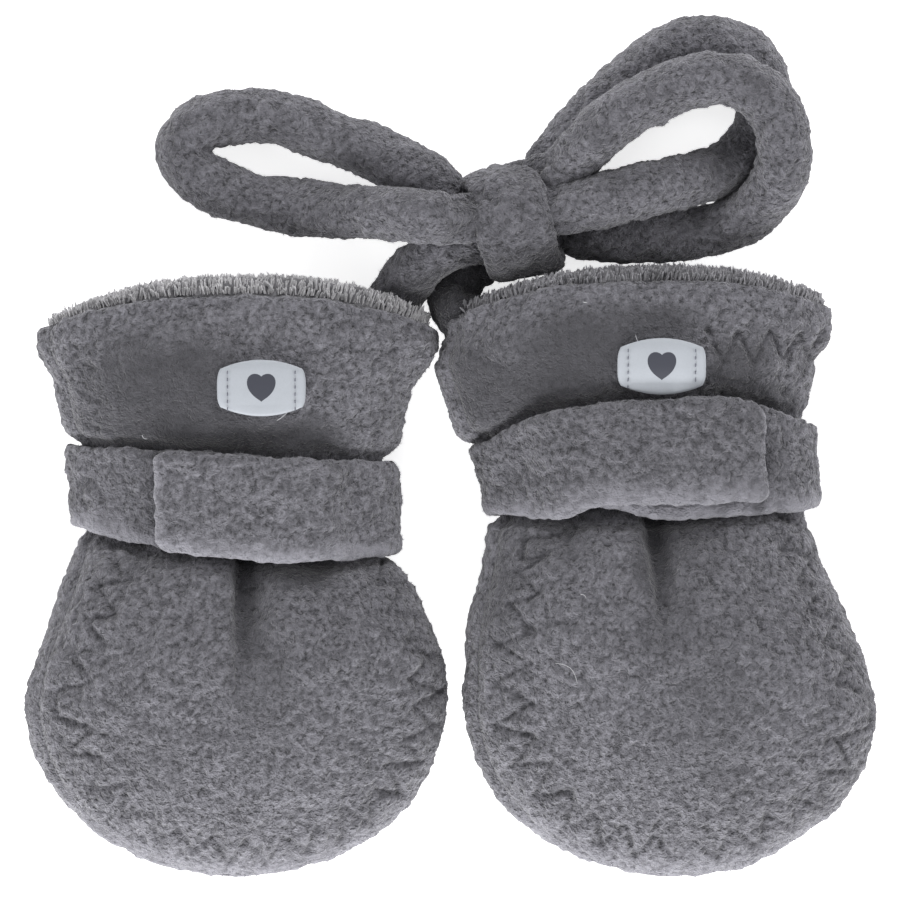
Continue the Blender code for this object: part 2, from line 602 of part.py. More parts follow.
def main():
    clear_scene()
    for mitten in MITTENS:
        make_pouch(mitten)
        make_lining(mitten)
        make_strap(mitten)
        make_tab(mitten)
        make_label(mitten)
    make_knot()
    make_cord_tube("cord_left_tail", LEFT_TAIL)
    make_cord_tube("cord_left_loop", LEFT_LOOP)
    make_cord_tube("cord_front_loop", FRONT_LOOP)
    make_cord_tube("cord_rear_loop", REAR_LOOP)
    make_cord_tube("cord_right_tail", RIGHT_TAIL)


main()
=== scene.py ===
"""Pair of fleece baby mittens joined by a soft cord tied in a bow: their finished look.

The file is laid out as a Blender add-on and is run as a script.  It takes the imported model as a
fixed frame and builds round it the napped cloth, the pile lining, the straps, the labels and the
one long cord.  Tables and cloth functions are in millimetres; finished meshes are in metres, +Z up,
with X across the pair, +Y from the fingertips to the cuffs and Z = 0 where the mittens lie.
"""

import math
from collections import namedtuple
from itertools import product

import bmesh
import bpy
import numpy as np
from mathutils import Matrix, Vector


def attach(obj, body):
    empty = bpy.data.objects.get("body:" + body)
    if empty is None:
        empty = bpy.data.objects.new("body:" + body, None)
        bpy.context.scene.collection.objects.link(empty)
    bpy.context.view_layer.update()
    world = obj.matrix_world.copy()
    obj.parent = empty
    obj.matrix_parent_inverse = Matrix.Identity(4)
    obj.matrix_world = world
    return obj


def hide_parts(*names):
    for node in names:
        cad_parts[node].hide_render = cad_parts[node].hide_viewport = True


bl_info = {
    "name": "Baby Mittens",
    "version": (1, 0, 0),
    "blender": (4, 5, 0),
    "location": "View3D > Sidebar > Mittens",
    "description": "Builds the napped cloth, lining, straps, labels and cord of two baby mittens",
    "category": "Add Mesh",
}

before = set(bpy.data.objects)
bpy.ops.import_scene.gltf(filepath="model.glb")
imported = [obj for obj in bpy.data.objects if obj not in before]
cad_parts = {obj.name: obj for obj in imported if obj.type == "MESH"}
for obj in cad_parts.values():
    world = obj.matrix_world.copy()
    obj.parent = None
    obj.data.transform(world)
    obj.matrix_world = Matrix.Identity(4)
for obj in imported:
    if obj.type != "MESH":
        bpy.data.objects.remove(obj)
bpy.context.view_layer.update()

MM = 0.001

# Cloth thicknesses and gaps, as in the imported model
FLEECE = 2.2
LINING = 2.5
STRAP = 3.0
LABEL = 1.0
LABEL_SEAT = 0.4
GAP = 0.3
LOWEST = 0.03                 # nothing reaches nearer than this to the surface they lie on

# The pouches' form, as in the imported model
FINGER_LENGTH = 35.3
DOME_POWER = 2.3
BASE_POWER = 3.4
BASE_PRESS = 1.18
BOW_POWER = 2.6
LEFT_SEAM = 21.0
RIGHT_SEAM = 202.0
PLAN_START, PLAN_STEPS = 100.0, 14      # where the search for a place on the plan starts

Section = namedtuple("Section", "along left_x left_y right_x right_y bow top side floor")

LEFT_SECTIONS = (
    Section(35.3, -85.0, -25.4, -0.8, -25.4, 0.0, 25.0, 9.5, 0.0),      # widest line of the hand
    Section(41.7, -83.7, -19.0, -1.3, -19.0, -0.4, 25.2, 9.5, 0.0),
    Section(49.0, -80.9, -11.4, -3.4, -12.2, -1.0, 24.4, 9.5, 0.0),
    Section(57.0, -77.8, -3.4, -7.0, -4.2, -2.0, 22.6, 9.5, 0.0),
    Section(63.0, -75.3, 4.2, -9.8, 0.6, -2.8, 20.6, 9.5, 0.6),
    Section(65.0, -74.7, 6.4, -11.0, 2.0, -3.1, 19.0, 9.5, 1.6),        # hand swells to the strap
    Section(67.0, -73.0, 8.8, -13.4, 3.8, -3.4, 15.6, 9.5, 3.3),        # wrist, strap's lower edge
    Section(85.0, -73.8, 25.8, -13.6, 22.6, 0.0, 16.2, 9.5, 3.3),       # wrist, strap's upper edge
    Section(87.4, -76.6, 27.8, -11.0, 25.4, 0.5, 19.4, 9.5, 1.4),
    Section(94.2, -78.5, 33.8, -8.8, 33.0, 2.0, 21.4, 9.0, 0.0),
    Section(98.2, -79.3, 37.8, -7.6, 37.0, 3.0, 21.6, 9.0, 0.0),
    Section(102.8, -81.8, 41.8, -4.3, 42.2, 4.0, 21.2, 9.0, 0.0),       # cuff flares
    Section(106.4, -83.0, 45.6, -2.7, 45.6, 5.2, 20.6, 9.0, 0.0),
    Section(110.0, -82.6, 48.8, -2.7, 49.0, 6.3, 20.0, 9.0, 0.0),       # rim of the fleece
    Section(113.2, -82.0, 50.4, -3.0, 52.4, 7.4, 19.6, 9.0, 0.0),       # rim of the lining
)

RIGHT_SECTIONS = (
    Section(35.3, 2.4, -24.2, 85.0, -26.6, 0.0, 25.0, 9.5, 0.0),        # widest line of the hand
    Section(43.3, 2.6, -16.4, 82.7, -18.4, 0.0, 25.2, 9.5, 0.0),
    Section(51.6, 3.6, -7.8, 79.4, -10.4, -0.4, 24.2, 9.5, 0.0),
    Section(59.0, 5.4, -1.8, 75.6, -1.4, -0.8, 22.6, 9.5, 0.0),
    Section(66.4, 6.8, 5.2, 72.2, 6.2, -1.2, 20.6, 9.5, 0.6),
    Section(70.6, 7.6, 9.2, 70.8, 10.2, -1.4, 19.0, 9.5, 1.6),          # hand swells to the strap
    Section(72.8, 9.8, 11.4, 70.6, 12.6, -1.6, 15.6, 9.5, 3.3),         # wrist, strap's lower edge
    Section(89.0, 6.2, 25.4, 70.0, 30.0, 7.4, 16.2, 9.5, 3.3),          # wrist, strap's upper edge
    Section(91.4, 1.8, 27.4, 70.4, 32.6, 7.2, 19.4, 9.5, 1.4),
    Section(95.6, -0.8, 34.0, 71.2, 35.6, 6.6, 21.2, 9.0, 0.0),
    Section(98.7, -2.3, 37.6, 72.2, 38.2, 6.6, 21.6, 9.0, 0.0),
    Section(102.4, -3.2, 41.0, 72.8, 42.2, 6.4, 21.2, 9.0, 0.0),
    Section(107.3, -1.7, 46.0, 76.0, 47.0, 6.2, 20.6, 9.0, 0.0),        # cuff flares
    Section(112.5, -0.8, 51.0, 76.4, 53.4, 6.0, 20.0, 9.0, 0.0),        # rim of the fleece
    Section(115.2, 0.4, 53.4, 75.8, 55.4, 6.2, 19.6, 9.0, 0.0),         # rim of the lining
)
WRIST_LOW_ROW, WRIST_HIGH_ROW, RIM_ROW, LINING_ROW = 6, 7, 13, 14

# Creases pressed into the front: from, to, how wide each one is on its left and on its
# right as one looks from its start to its end, and its depth
Crease = namedtuple("Crease", "from_x from_y to_x to_y left_width right_width depth")

LEFT_CREASES = (
    Crease(-42.6, 7.0, -42.0, -30.0, 6.4, 0.9, 5.6),        # pleat drawn in by the strap
    Crease(-28.5, 5.0, -24.0, -6.0, 4.4, 4.6, 2.8),         # hollow beside it
    Crease(-15.0, 5.0, -17.5, -5.0, 2.2, 3.0, 1.4),
    Crease(-62.5, 7.0, -60.5, -3.0, 2.4, 2.8, 1.1),
    Crease(-63.0, 29.0, -49.0, 34.0, 3.2, 3.2, 1.3),        # cuff, sunk above the strap
    Crease(-44.0, 26.0, -19.0, 28.5, 2.4, 3.4, 1.6),
    Crease(-74.5, 42.0, -67.0, 27.0, 1.5, 1.8, 1.0),
)
RIGHT_CREASES = (
    Crease(38.2, 14.0, 43.6, -20.0, 5.4, 1.0, 5.4),
    Crease(48.0, 13.0, 54.5, 0.5, 5.0, 4.0, 2.2),
    Crease(24.5, 13.5, 22.0, 4.0, 2.4, 2.4, 1.6),
    Crease(66.0, 13.0, 62.5, 4.0, 2.4, 2.4, 1.0),
    Crease(13.0, 38.5, 36.0, 42.5, 4.2, 3.8, 1.5),
    Crease(6.0, 32.5, 22.0, 34.0, 2.6, 3.0, 1.5),
    Crease(54.0, 34.5, 68.0, 33.0, 2.0, 2.6, 1.4),
    Crease(3.0, 45.0, 12.0, 41.5, 1.6, 1.8, 0.8),
)
CREASE_ONSET = 4.0

# Patches where the nap lies flat and dark, pressed nap with painted shade: centre, half-axes and
# how strongly it is pressed
Patch = namedtuple("Patch", "x y wide high strength")

LEFT_PATCHES = (
    # On the cuff, pressed nap with painted shade where the cloth slopes into the strap's shadow
    Patch(-56.0, 37.0, 17.0, 10.0, 0.95),
    Patch(-52.0, 29.0, 21.0, 6.5, 1.0),
    Patch(-34.0, 28.0, 12.0, 4.0, 0.85),
    # Painted shade beside the pleat and in the hollow under the strap
    Patch(-40.2, -6.0, 4.4, 13.0, 0.60),
    Patch(-29.0, 1.5, 7.5, 4.5, 0.95),
    Patch(-38.0, -22.0, 8.0, 14.0, 0.30),
    Patch(-16.0, 3.0, 6.0, 3.5, 0.4),
    Patch(-64.0, 1.0, 7.0, 3.0, 0.25),
    Patch(-60.0, -37.0, 9.0, 5.0, 0.15),
)
RIGHT_PATCHES = (
    # On the cuff, pressed nap with painted shade where the cloth slopes into the strap's shadow
    Patch(27.0, 43.0, 14.5, 9.0, 1.0),
    Patch(40.0, 49.5, 8.0, 4.0, 0.85),
    Patch(12.0, 37.0, 18.0, 6.5, 0.9),
    Patch(4.5, 37.0, 9.0, 9.0, 0.85),
    Patch(57.0, 40.0, 6.5, 6.0, 0.85),
    Patch(64.0, 35.0, 5.0, 3.0, 0.8),
    # Painted shade beside the crease
    Patch(40.8, 3.0, 4.0, 9.5, 0.90),
    Patch(46.0, 6.0, 8.0, 6.0, 0.45),
    Patch(51.0, -24.0, 10.0, 19.0, 0.26),
    Patch(43.0, -10.0, 6.0, 9.0, 0.35),
    Patch(20.0, 6.0, 10.0, 5.0, 0.35),
    # Painted shade on the hand's left side, which turns away
    Patch(8.5, 0.0, 5.5, 16.0, 0.45),
)

# Zigzag stitching sunk into the nap round the hand: share of the way from the left end of the
# wrist round the fingertips to its right end, distance inside the outline, half its breadth
Stitch = namedtuple("Stitch", "share inside reach")
HAND_STITCHING = (
    Stitch(0.00, 9.5, 2.6),
    Stitch(0.15, 9.8, 3.3),
    Stitch(0.32, 9.0, 3.3),
    Stitch(0.42, 6.8, 2.7),
    Stitch(0.52, 5.2, 2.5),
    Stitch(0.62, 5.0, 2.7),
    Stitch(0.75, 4.2, 3.0),
    Stitch(1.00, 3.6, 2.4),
)
STITCH_PITCH = 7.3
PITCH_UNEVEN = 0.2            # share by which a stroke's length varies
STITCH_UNEVEN = 0.72          # how far a corner wanders

# Straight rows of the same stitching on the cuffs, and its depth there
StitchRow = namedtuple("StitchRow", "from_x from_y to_x to_y reach pitch depth")
LEFT_ROWS = (
    StitchRow(-73.5, 46.0, -70.5, 27.5, 2.4, 6.2, 0.55),
    StitchRow(-11.5, 45.5, -16.0, 27.0, 2.2, 6.4, 0.40),
)
RIGHT_ROWS = (
    StitchRow(51.0, 45.6, 74.5, 44.6, 3.0, 5.6, 1.25),
    StitchRow(7.0, 47.0, 9.5, 31.0, 2.4, 6.2, 0.45),
    StitchRow(66.0, 42.0, 69.0, 34.0, 1.8, 4.6, 0.60),
)

Tab = namedtuple("Tab", "free_end sewn_right lower_shift upper_shift shade side_shade")
LEFT_TAB = Tab(free_end=-0.44, sewn_right=True, lower_shift=-0.3, upper_shift=0.0,
               shade=0.02, side_shade=0.0)
RIGHT_TAB = Tab(free_end=0.64, sewn_right=False, lower_shift=2.2, upper_shift=-0.1,
                shade=0.24, side_shade=0.45)
STRAP_MARGIN = 0.4
SOFT_ROUND = 1.4              # the strap edges' rounding once the nap stands on them
TAB_CORNER = 2.4
STRAP_MEETS_TAB = 8.0
SEAM_ALLOWANCE = 1.2
STRAP_UNDER_TAB = 0.42
TAB_CLEAR_OF_END = 0.04
TAB_CLIMB = 0.34
STRAP_TAPER, STRAP_TAPER_LENGTH = 2.2, 18.0     # how its end under the tab narrows
STRAP_SHOWS_AFTER = 9.0       # degrees from the strap's end to where its low edge shows fully

LABEL_LENGTH = 17.6
LABEL_HEIGHT = 11.2
LABEL_END_HEIGHT = 7.6
LABEL_OVERHANG = 2.2
LABEL_STITCH_X = 6.7          # columns of stitches, either side of the middle
LABEL_STITCH_PITCH, LABEL_STITCH_REACH = 1.45, 0.36
LABEL_STITCH_RISE, LABEL_THREAD, LABEL_STITCH_POINTS = 0.12, 0.13, 7
LABEL_STITCH_PAST, LABEL_STITCH_CLEAR = 0.35, 0.05      # past the label's end, and above it
LABEL_COLUMNS, LABEL_ROWS = 57, 37
LABEL_PULL, LABEL_PULL_POWER = 0.075, 3.5       # how far its corners draw in
LABEL_ROUND, LABEL_DOME, LABEL_SEWN_DOWN = 0.55, 0.22, 0.14
LABEL_EDGE, LABEL_EDGE_RISE = 0.5, 0.42         # how low its edge lies, and its rounding's rise
LABEL_TURNED, LABEL_TURNED_FROM = 0.15, 0.7     # how far its long edges turn down, from where
LABEL_SEWN_WIDTH, LABEL_SEWN_SHADE = 0.5, 0.25
THREAD_SIDES, THREAD_STEPS, THREAD_LIFT = 6, 16, 0.35

Mitten = namedtuple("Mitten", "side sections creases patches rows tab label_x label_y seed")
MITTENS = (
    Mitten("left", LEFT_SECTIONS, LEFT_CREASES, LEFT_PATCHES, LEFT_ROWS, LEFT_TAB,
           -37.6, 36.9, 11),
    Mitten("right", RIGHT_SECTIONS, RIGHT_CREASES, RIGHT_PATCHES, RIGHT_ROWS, RIGHT_TAB,
           41.8, 41.2, 47),
)

# The cord's route: x, y, height and how far the cord is squeezed there
CORD_DIAMETER = 10.8
RoutePoint = namedtuple("RoutePoint", "x y z squeeze")

LEFT_TAIL = (
    RoutePoint(-10.4, 56.1, 7.4, 0.88), RoutePoint(-7.5, 60.1, 9.2, 0.90),
    RoutePoint(-4.0, 63.0, 10.6, 0.86), RoutePoint(0.2, 65.4, 10.2, 0.73),
    RoutePoint(4.4, 66.3, 9.6, 0.60),
)
LEFT_LOOP = (
    RoutePoint(1.9, 74.2, 4.3, 0.56), RoutePoint(-0.6, 75.1, 5.0, 0.77),
    RoutePoint(-4.2, 78.2, 5.5, 0.96), RoutePoint(-10.0, 81.6, 5.5, 1.0),
    RoutePoint(-18.0, 85.2, 5.5, 1.0), RoutePoint(-24.4, 87.5, 5.5, 1.0),
    RoutePoint(-30.4, 89.8, 5.5, 1.0), RoutePoint(-36.2, 91.3, 5.5, 1.0),
    RoutePoint(-42.2, 91.7, 5.5, 1.0), RoutePoint(-48.2, 90.8, 5.5, 1.0),
    RoutePoint(-52.3, 88.4, 5.5, 1.0), RoutePoint(-54.0, 84.8, 5.5, 1.0),
    RoutePoint(-52.2, 81.0, 5.5, 1.0), RoutePoint(-48.6, 78.2, 5.5, 1.0),
    RoutePoint(-45.2, 76.7, 5.5, 1.0), RoutePoint(-39.2, 74.8, 5.6, 1.0),
    RoutePoint(-33.2, 73.6, 5.9, 1.0), RoutePoint(-27.2, 72.7, 7.2, 1.0),
    RoutePoint(-21.2, 72.2, 9.6, 1.0), RoutePoint(-15.2, 71.9, 12.6, 1.0),
    RoutePoint(-9.2, 71.6, 15.4, 1.0), RoutePoint(-3.8, 71.1, 16.8, 0.94),
    RoutePoint(-0.5, 70.6, 15.9, 0.74), RoutePoint(2.8, 71.0, 15.3, 0.59),
)
FRONT_LOOP = (
    RoutePoint(21.8, 68.9, 4.2, 0.60), RoutePoint(25.6, 68.4, 4.8, 0.82),
    RoutePoint(30.8, 68.0, 5.5, 1.0), RoutePoint(39.2, 67.9, 5.5, 1.0),
    RoutePoint(46.0, 68.2, 5.6, 0.98), RoutePoint(52.6, 69.0, 6.3, 0.94),
    RoutePoint(58.4, 71.2, 8.8, 0.94), RoutePoint(63.0, 75.0, 12.2, 0.97),
    RoutePoint(65.6, 79.6, 15.0, 1.0), RoutePoint(66.3, 85.2, 16.4, 1.0),
    RoutePoint(64.8, 91.6, 16.6, 1.0), RoutePoint(60.6, 96.3, 16.6, 1.0),
    RoutePoint(54.4, 98.5, 16.6, 1.0), RoutePoint(47.8, 97.9, 16.6, 1.0),
    RoutePoint(41.8, 95.7, 16.6, 1.0), RoutePoint(35.8, 92.7, 16.6, 1.0),
    RoutePoint(30.4, 88.7, 16.2, 0.95), RoutePoint(26.0, 84.3, 14.8, 0.78),
    RoutePoint(22.8, 81.4, 13.4, 0.66), RoutePoint(20.4, 79.8, 12.6, 0.58),
)
REAR_LOOP = (
    RoutePoint(20.8, 72.1, 14.2, 0.60), RoutePoint(24.2, 72.9, 14.4, 0.76),
    RoutePoint(28.2, 74.0, 14.5, 0.92), RoutePoint(33.2, 75.2, 14.4, 1.0),
    RoutePoint(39.8, 76.6, 13.6, 1.0), RoutePoint(47.8, 78.6, 11.6, 0.96),
    RoutePoint(54.8, 81.0, 8.4, 0.93), RoutePoint(59.6, 85.0, 5.9, 0.95),
    RoutePoint(62.6, 91.0, 5.5, 1.0), RoutePoint(62.8, 98.0, 5.5, 1.0),
    RoutePoint(59.8, 103.2, 5.5, 1.0), RoutePoint(54.6, 106.0, 5.5, 1.0),
    RoutePoint(48.2, 106.2, 5.5, 1.0), RoutePoint(42.0, 103.8, 5.5, 1.0),
    RoutePoint(36.6, 99.2, 5.5, 1.0), RoutePoint(31.4, 94.4, 5.5, 1.0),
    RoutePoint(26.6, 89.6, 5.2, 0.90), RoutePoint(22.2, 84.8, 4.7, 0.74),
    RoutePoint(19.0, 81.6, 4.2, 0.60),
)
RIGHT_TAIL = (
    RoutePoint(4.8, 61.7, 4.0, 0.64), RoutePoint(3.2, 60.6, 4.3, 0.76),
    RoutePoint(0.8, 56.3, 4.3, 0.78),
)
# The cord's two ends, sewn in between fleece and lining, and its three passes through the knot
LEFT_END = (RoutePoint(-17.2, 47.2, 9.0, 0.66), RoutePoint(-13.8, 51.6, 8.4, 0.76))
RIGHT_END = (RoutePoint(0.6, 53.0, 7.2, 0.76), RoutePoint(7.0, 47.6, 9.0, 0.66))
LOW_PASS = (RoutePoint(12.8, 67.4, 6.6, 0.52),)
BACK_PASS = (RoutePoint(11.6, 77.2, 8.6, 0.50),)
FRONT_PASS = (RoutePoint(11.8, 71.3, 14.0, 0.50),)

KNOT_CENTRE = (12.4, 70.2, 9.7)
KNOT_SLANT = 12.0
KNOT_LENGTH = 14.6
KNOT_HALF_WIDTH = 11.8
KNOT_HALF_HEIGHT = 9.6
WRAP_THICKNESS = 4.6
WRAP_NARROW = 8.2             # its width behind the knot, where its two ends pass each other
WRAP_SHIFT = 3.7              # how far its ends are apart from its middle along the knot
WRAP_WIDTH = 15.4             # its width over the front
WRAP_TURN = (-72.0, -468.0)   # degrees from its start behind to its end behind
WRAP_CREASES = ((-0.34, 0.30), (0.28, 0.24))            # soft lengthwise folds: place and depth
WRAP_SQUEEZE, WRAP_STEPS = 0.60, 30
WRAP_SQUARE, WRAP_CREASE_WIDTH = 0.35, 0.10
WRAP_WIDENS, CORD_WIDENS = 0.8, 0.2     # powers: over its front, and where it is squeezed
CORD_SEED = 77
CORD_RING_STEP, CORD_SIDES = 0.64, 56
ROUTE_STEPS = 24              # steps of the curve between two of the route's points
COURSE_RINGS, UP_RINGS, SIZE_RINGS = 3, 4, 5    # rings over which each is evened out
CORD_GATHERED = (0.15, 0.45)  # how far it is squeezed where its pleats start and are full
CORD_PLEATS, CORD_PLEAT_DEPTH, CORD_PLEAT_TURN = 5, 0.5, 0.8
CORD_LONG_WAVE, CORD_LONG_HEIGHT = 9.0, 0.40
CORD_SHORT_WAVE, CORD_SHORT_HEIGHT = 5.0, 0.25
CORD_PRESSED, CORD_PATCH, CORD_PATCH_SIZE = 0.3, (0.0, 0.6), 8.0
# How dark the painted shade on the cord is in its pleats, in the wrap's folds, beside the knot and
# under it
PLEAT_SHADE, WRAP_SHADE, NOOK_SHADE, LEE_SHADE = 0.12, 0.4, 0.4, 1.1
NOOK_REACH, NOOK_APART = (-1.0, 3.6), (13.0, 18.0)      # from the knot's end, from its middle
LEE_BELOW = (3.0, 9.0)        # below the knot's middle, where the painted shade of its low side comes in
TAILS_DARK, TAILS_SLOPE = (-1.0, 3.5), 0.35             # the painted shadow over the two tails
TAILS_X, TAILS_Y, TAILS_RIGHT, TAILS_HIGH = -8.0, 60.0, (13.0, 16.0), 66.0

# Label's printed heart, and the stray threads: root and tip in plan, bow to the side, height
# above the cloth
HEART_SIZE, HEART_DROP = 2.5, 0.12
StrayThread = namedtuple("StrayThread", "x y to_x to_y bow lift radius")
STRAY_THREADS = (
    StrayThread(-31.6, 34.0, -34.6, 30.4, 0.5, 0.9, 0.10),
    StrayThread(38.4, 45.4, 36.6, 47.4, 0.5, 0.7, 0.07),
    StrayThread(20.6, -17.6, 25.0, -21.6, 1.3, 0.5, 0.07),
    StrayThread(25.6, 54.4, 27.0, 53.9, -0.2, 0.3, 0.12),
    StrayThread(25.6, -4.0, 26.8, -4.8, 0.3, 0.4, 0.08),
    StrayThread(-60.4, 26.8, -61.4, 27.6, 0.3, 0.5, 0.08),
)

# How finely the cloth is made, and its nap
FINE = 0.49                   # spacing of the points where cloth shows
UNDER_STRAP = 1.9             # spacing where a strap hides it
UNDERSIDE = 1.4               # spacing on the flat underside
INNER_RATIO = 4               # the hidden inner face is this many times coarser
SEAM_WELD = 0.004             # points closer than this are one
MARKS = ("hollow_shade", "pressed", "edge")   # painted shade in hollows; nap pressed flat, with painted shade; painted highlight on folded edges and fingertips
TIP_SAMPLES, ARM_SAMPLES, ROUND_SAMPLES, LINING_SAMPLES = 60, 400, 900, 1200
OUTLINE_SAMPLES, ROW_SAMPLES = 150, 40
COLUMNS_AT = 50.0             # distance along the arm where a panel's columns are spaced out
BENEATH = (0.75, 0.95)        # share of the way down where the underside's spacing starts, is full
STRAP_BENEATH = (0.3, 0.8)    # the same for the strap

# The nap: sizes of its nubs, how its grain bends, and its height's middle, shares, least and most
NUB, SMALL_NUB, LUMP = 1.45, 1.0, 4.2
NUB_BEND, NUB_BEND_SIZE = 0.5, 2.2
NAP_MIDDLE, NUB_HEIGHT, SMALL_NUB_HEIGHT, LUMP_HEIGHT = 0.45, 0.95, 0.45, 0.95
NAP_LEAST, NAP_MOST = -0.5, 1.4
CREVICE = (-0.45, 0.05)       # from the depth of a full crevice to where there is none
# Painted shade: how dark a full crevice of the nap and a full hollow are painted
CREVICE_SHADE, HOLLOW_SHADE = 0.42, 0.85
NAP_PRESSED, NAP_SUNK = 0.60, 0.25      # how much lower it is where pressed, and in a hollow
LUMP_PRESSED, CREVICE_PRESSED = 0.4, 0.6

# A patch of pressed nap and painted shade: how its edge wanders and frays, and where it fades, in
# shares of its size
PATCH_WANDER, PATCH_WANDER_SIZE = 1.6, 6.0
PATCH_FRAY, PATCH_FRAY_SIZE = 0.16, 3.4
PATCH_FADE = (0.45, 1.55)

# Panels: how their edges turn in, and the soft waves of the cloth, each with size and height
SEAM_ROLL, SEAM_DEPTH = 1.5, 0.75
SEAM_GAP = 0.04               # between front and back, drawn together by the thread
SEAM_FADE = 1.8               # the nap dies away over this distance from a seam
RIM_LIP = 1.0
TIP_FADE = 7.0                # the turned-in edge grows over this distance from the fingertip
LONG_WAVE, LONG_WAVE_HEIGHT = 15.0, 0.55
SHORT_WAVE, SHORT_WAVE_HEIGHT = 7.0, 0.30
SUNK_MOST = 1.5
FINGERTIP_HIGHLIGHT = 0.6            # painted highlight where the fingertips turn under and face the near soft box
FINGER_TURN = (0.40, 0.95)    # how far it faces along the fingers where that starts and is full
FINGERTIP_HIGHLIGHT_REACH = 12.0
HIDDEN_LOW = (3.2, 5.4)       # above the strap's low edge, where the cloth goes out of sight
HIDDEN_HIGH = (3.5, 1.0)      # below its high edge, where the cloth comes into sight
TUCK_LOW, TUCK_HIGH = (0.8, 0.6), (0.6, 0.8)    # before and past the strap's edges: the painted shade there

# Stitching: the furrow's width and depth, and how it comes and goes along the thread
STITCH_WIDTH, STITCH_SINK = 0.60, 0.85
FAINT_MIDDLE, FAINT_RANGE, FAINT_SIZE = 0.85, 0.35, 7.0
FAINT_LEAST, FAINT_MOST = 0.3, 1.1
# How dark the painted shade of a panel is in its stitching, its turned-in edges, its creases and
# under the strap
STITCH_SHADE, ROLL_SHADE, CREASE_SHADE, TUCK_SHADE = 0.46, 0.22, 0.64, 0.75
DARKEST_CREASE, CREASE_GATHER = 5.0, 1.2

# Straps and tabs: points across the shown face and the hidden one, patches of flat nap, waves
STRAP_POINTS, TAB_POINTS = (32, 8), (38, 9)
BAND_CORNER = 5
BAND_FLAT, LINING_FLAT = 0.02, 0.05     # what their rounded edges leave flat in the middle
HIDDEN_FACE = 0.05            # points of a band this near its lowest lie on its hidden face
STRAP_PRESSED, TAB_PRESSED = 0.35, 0.18
BAND_PATCH, BAND_PATCH_SIZE = (0.1, 0.7), 8.5
BAND_LONG_WAVE, BAND_LONG_HEIGHT = 11.0, 0.28
BAND_SHORT_WAVE, BAND_SHORT_HEIGHT = 5.0, 0.30
EDGE_HIGHLIGHT = 5.0              # how far the painted highlight on a strap's folded low edge reaches
EDGE_HIGHLIGHT_SHARE, EDGE_HIGHLIGHT_WANDER = 0.9, 1.2
HIGHLIGHT_LIES_FLAT = 0.7         # how flat the nap lies where that painted highlight is
# The strap's shade beside its tab: how dark and how far, close in and further off
TAB_SHADOW_CLOSE, TAB_SHADOW_CLOSE_REACH = 0.50, 1.1
TAB_SHADOW_WIDE, TAB_SHADOW_WIDE_REACH = 0.34, 5.0
TAB_FINE, TAB_FINER, TAB_FINER_REACH = 0.50, 0.36, 1.2      # spacing, and less at its free end
TAB_THIN = 0.9                # how far its faces draw together at the free end
# Painted highlight on the tab's folded free end: how light, and how far it reaches
TAB_FOLD_HIGHLIGHT, TAB_FOLD_REACH = 0.85, 1.3
TAB_SIDE_FROM, TAB_SIDE_REACH = 0.93, 9.0       # share and degrees where the painted shade of its side comes in

# The lining: its spacing, how deep its pile starts and shows fully, and its nap and painted shade
LINING_SPACING = 0.85
LINING_COARSE, LINING_FINE, LINING_FINE_REACH, LINING_TURN = 6, 13, 8.0, 9
LINING_SHOWS = (7.0, 2.5)
LINING_NAP, LINING_SHADE = 1.3, 0.55

# Loose fibres: lean, root depth, lengths and widths, how much fewer and shorter where pressed
FIBRE_LEAN, FIBRE_ROOT = 0.75, 0.10
FIBRE_LENGTHS, FIBRE_WIDTHS = (0.35, 0.85), (0.10, 0.17)
FIBRE_SPARSE, FIBRE_SHORT = 0.8, 0.5
FIBRE_LOWEST = 0.25
BACK_FIBRES, BAND_FIBRES = 0.5, 1.1     # how densely they stand there, against the fronts
FIBRE_SIDES = (0.0, 2.094, 4.189)       # directions of its three corners, in radians
FIBRE_ASKEW = (0.31, 0.22, 0.92)        # a direction that no fibre lies along
BENT_RING, BENT_RING_THICK, BENT_RING_SHIFT = 0.88, 0.90, 0.6

# Rows of tufts: how far below the rim, how deep in the lining, how far they lean outwards
TUFT_ROWS = ((2.7, 2.5, 0.55), (1.6, 2.6, 0.45), (0.9, 3.6, 0.30), (0.9, 4.6, 0.0))
TUFT_SPACING, TUFT_FIBRES = 0.85, 6
TUFT_LENGTHS, TUFT_WIDTHS, TUFT_UNEVEN = (1.5, 2.0), (0.26, 0.42), (0.85, 1.1)
TUFT_SCATTER, TUFT_LEAN = 0.12, 0.17    # degrees round the rim, and share of its length
STRAND_LEAN, STRAND_SCATTER, STRAND_BEND = 0.09, 0.15, 0.14
RIM_PILE_LIGHT = (2.3, 1.5)   # how much lighter the pile's cut ends are, left and right; the left's greater share is painted light

# Soft boxes close round the mittens, in metres, and each one's share of the light
SoftBox = namedtuple("SoftBox", "name x y z breadth share")
SOFT_BOXES = (
    SoftBox("box_near", -0.06, -0.50, 0.21, 0.34, 0.46),
    SoftBox("box_far", 0.06, 0.56, 0.25, 0.34, 0.25),
    SoftBox("box_left", -0.54, 0.00, 0.24, 0.30, 0.15),
    SoftBox("box_right", 0.54, 0.04, 0.26, 0.30, 0.14),
)
MITTEN_MIDDLE = 10.0          # height at which the camera's frame is as wide as stated
SENSOR, CLIP = 36.0, (0.01, 20.0)
TABLE_SIZE = 6.0

GRAIN_CELLS = 256             # the noise repeats after this many grains, a power of two
GRAIN_OFFSET, GRAIN_GAIN = 37.3, 1.6
RANDOM = np.random.default_rng(7)
GRADIENTS = RANDOM.normal(size=(GRAIN_CELLS, 3))
GRADIENTS /= np.linalg.norm(GRADIENTS, axis=1)[:, None]
SHUFFLE = RANDOM.permutation(GRAIN_CELLS)


def soft_step(low, high, value):
    """0 below low, 1 above high, with a smooth rise between them."""
    share = np.clip((value - low) / (high - low), 0, 1)
    return share * share * (3 - 2 * share)


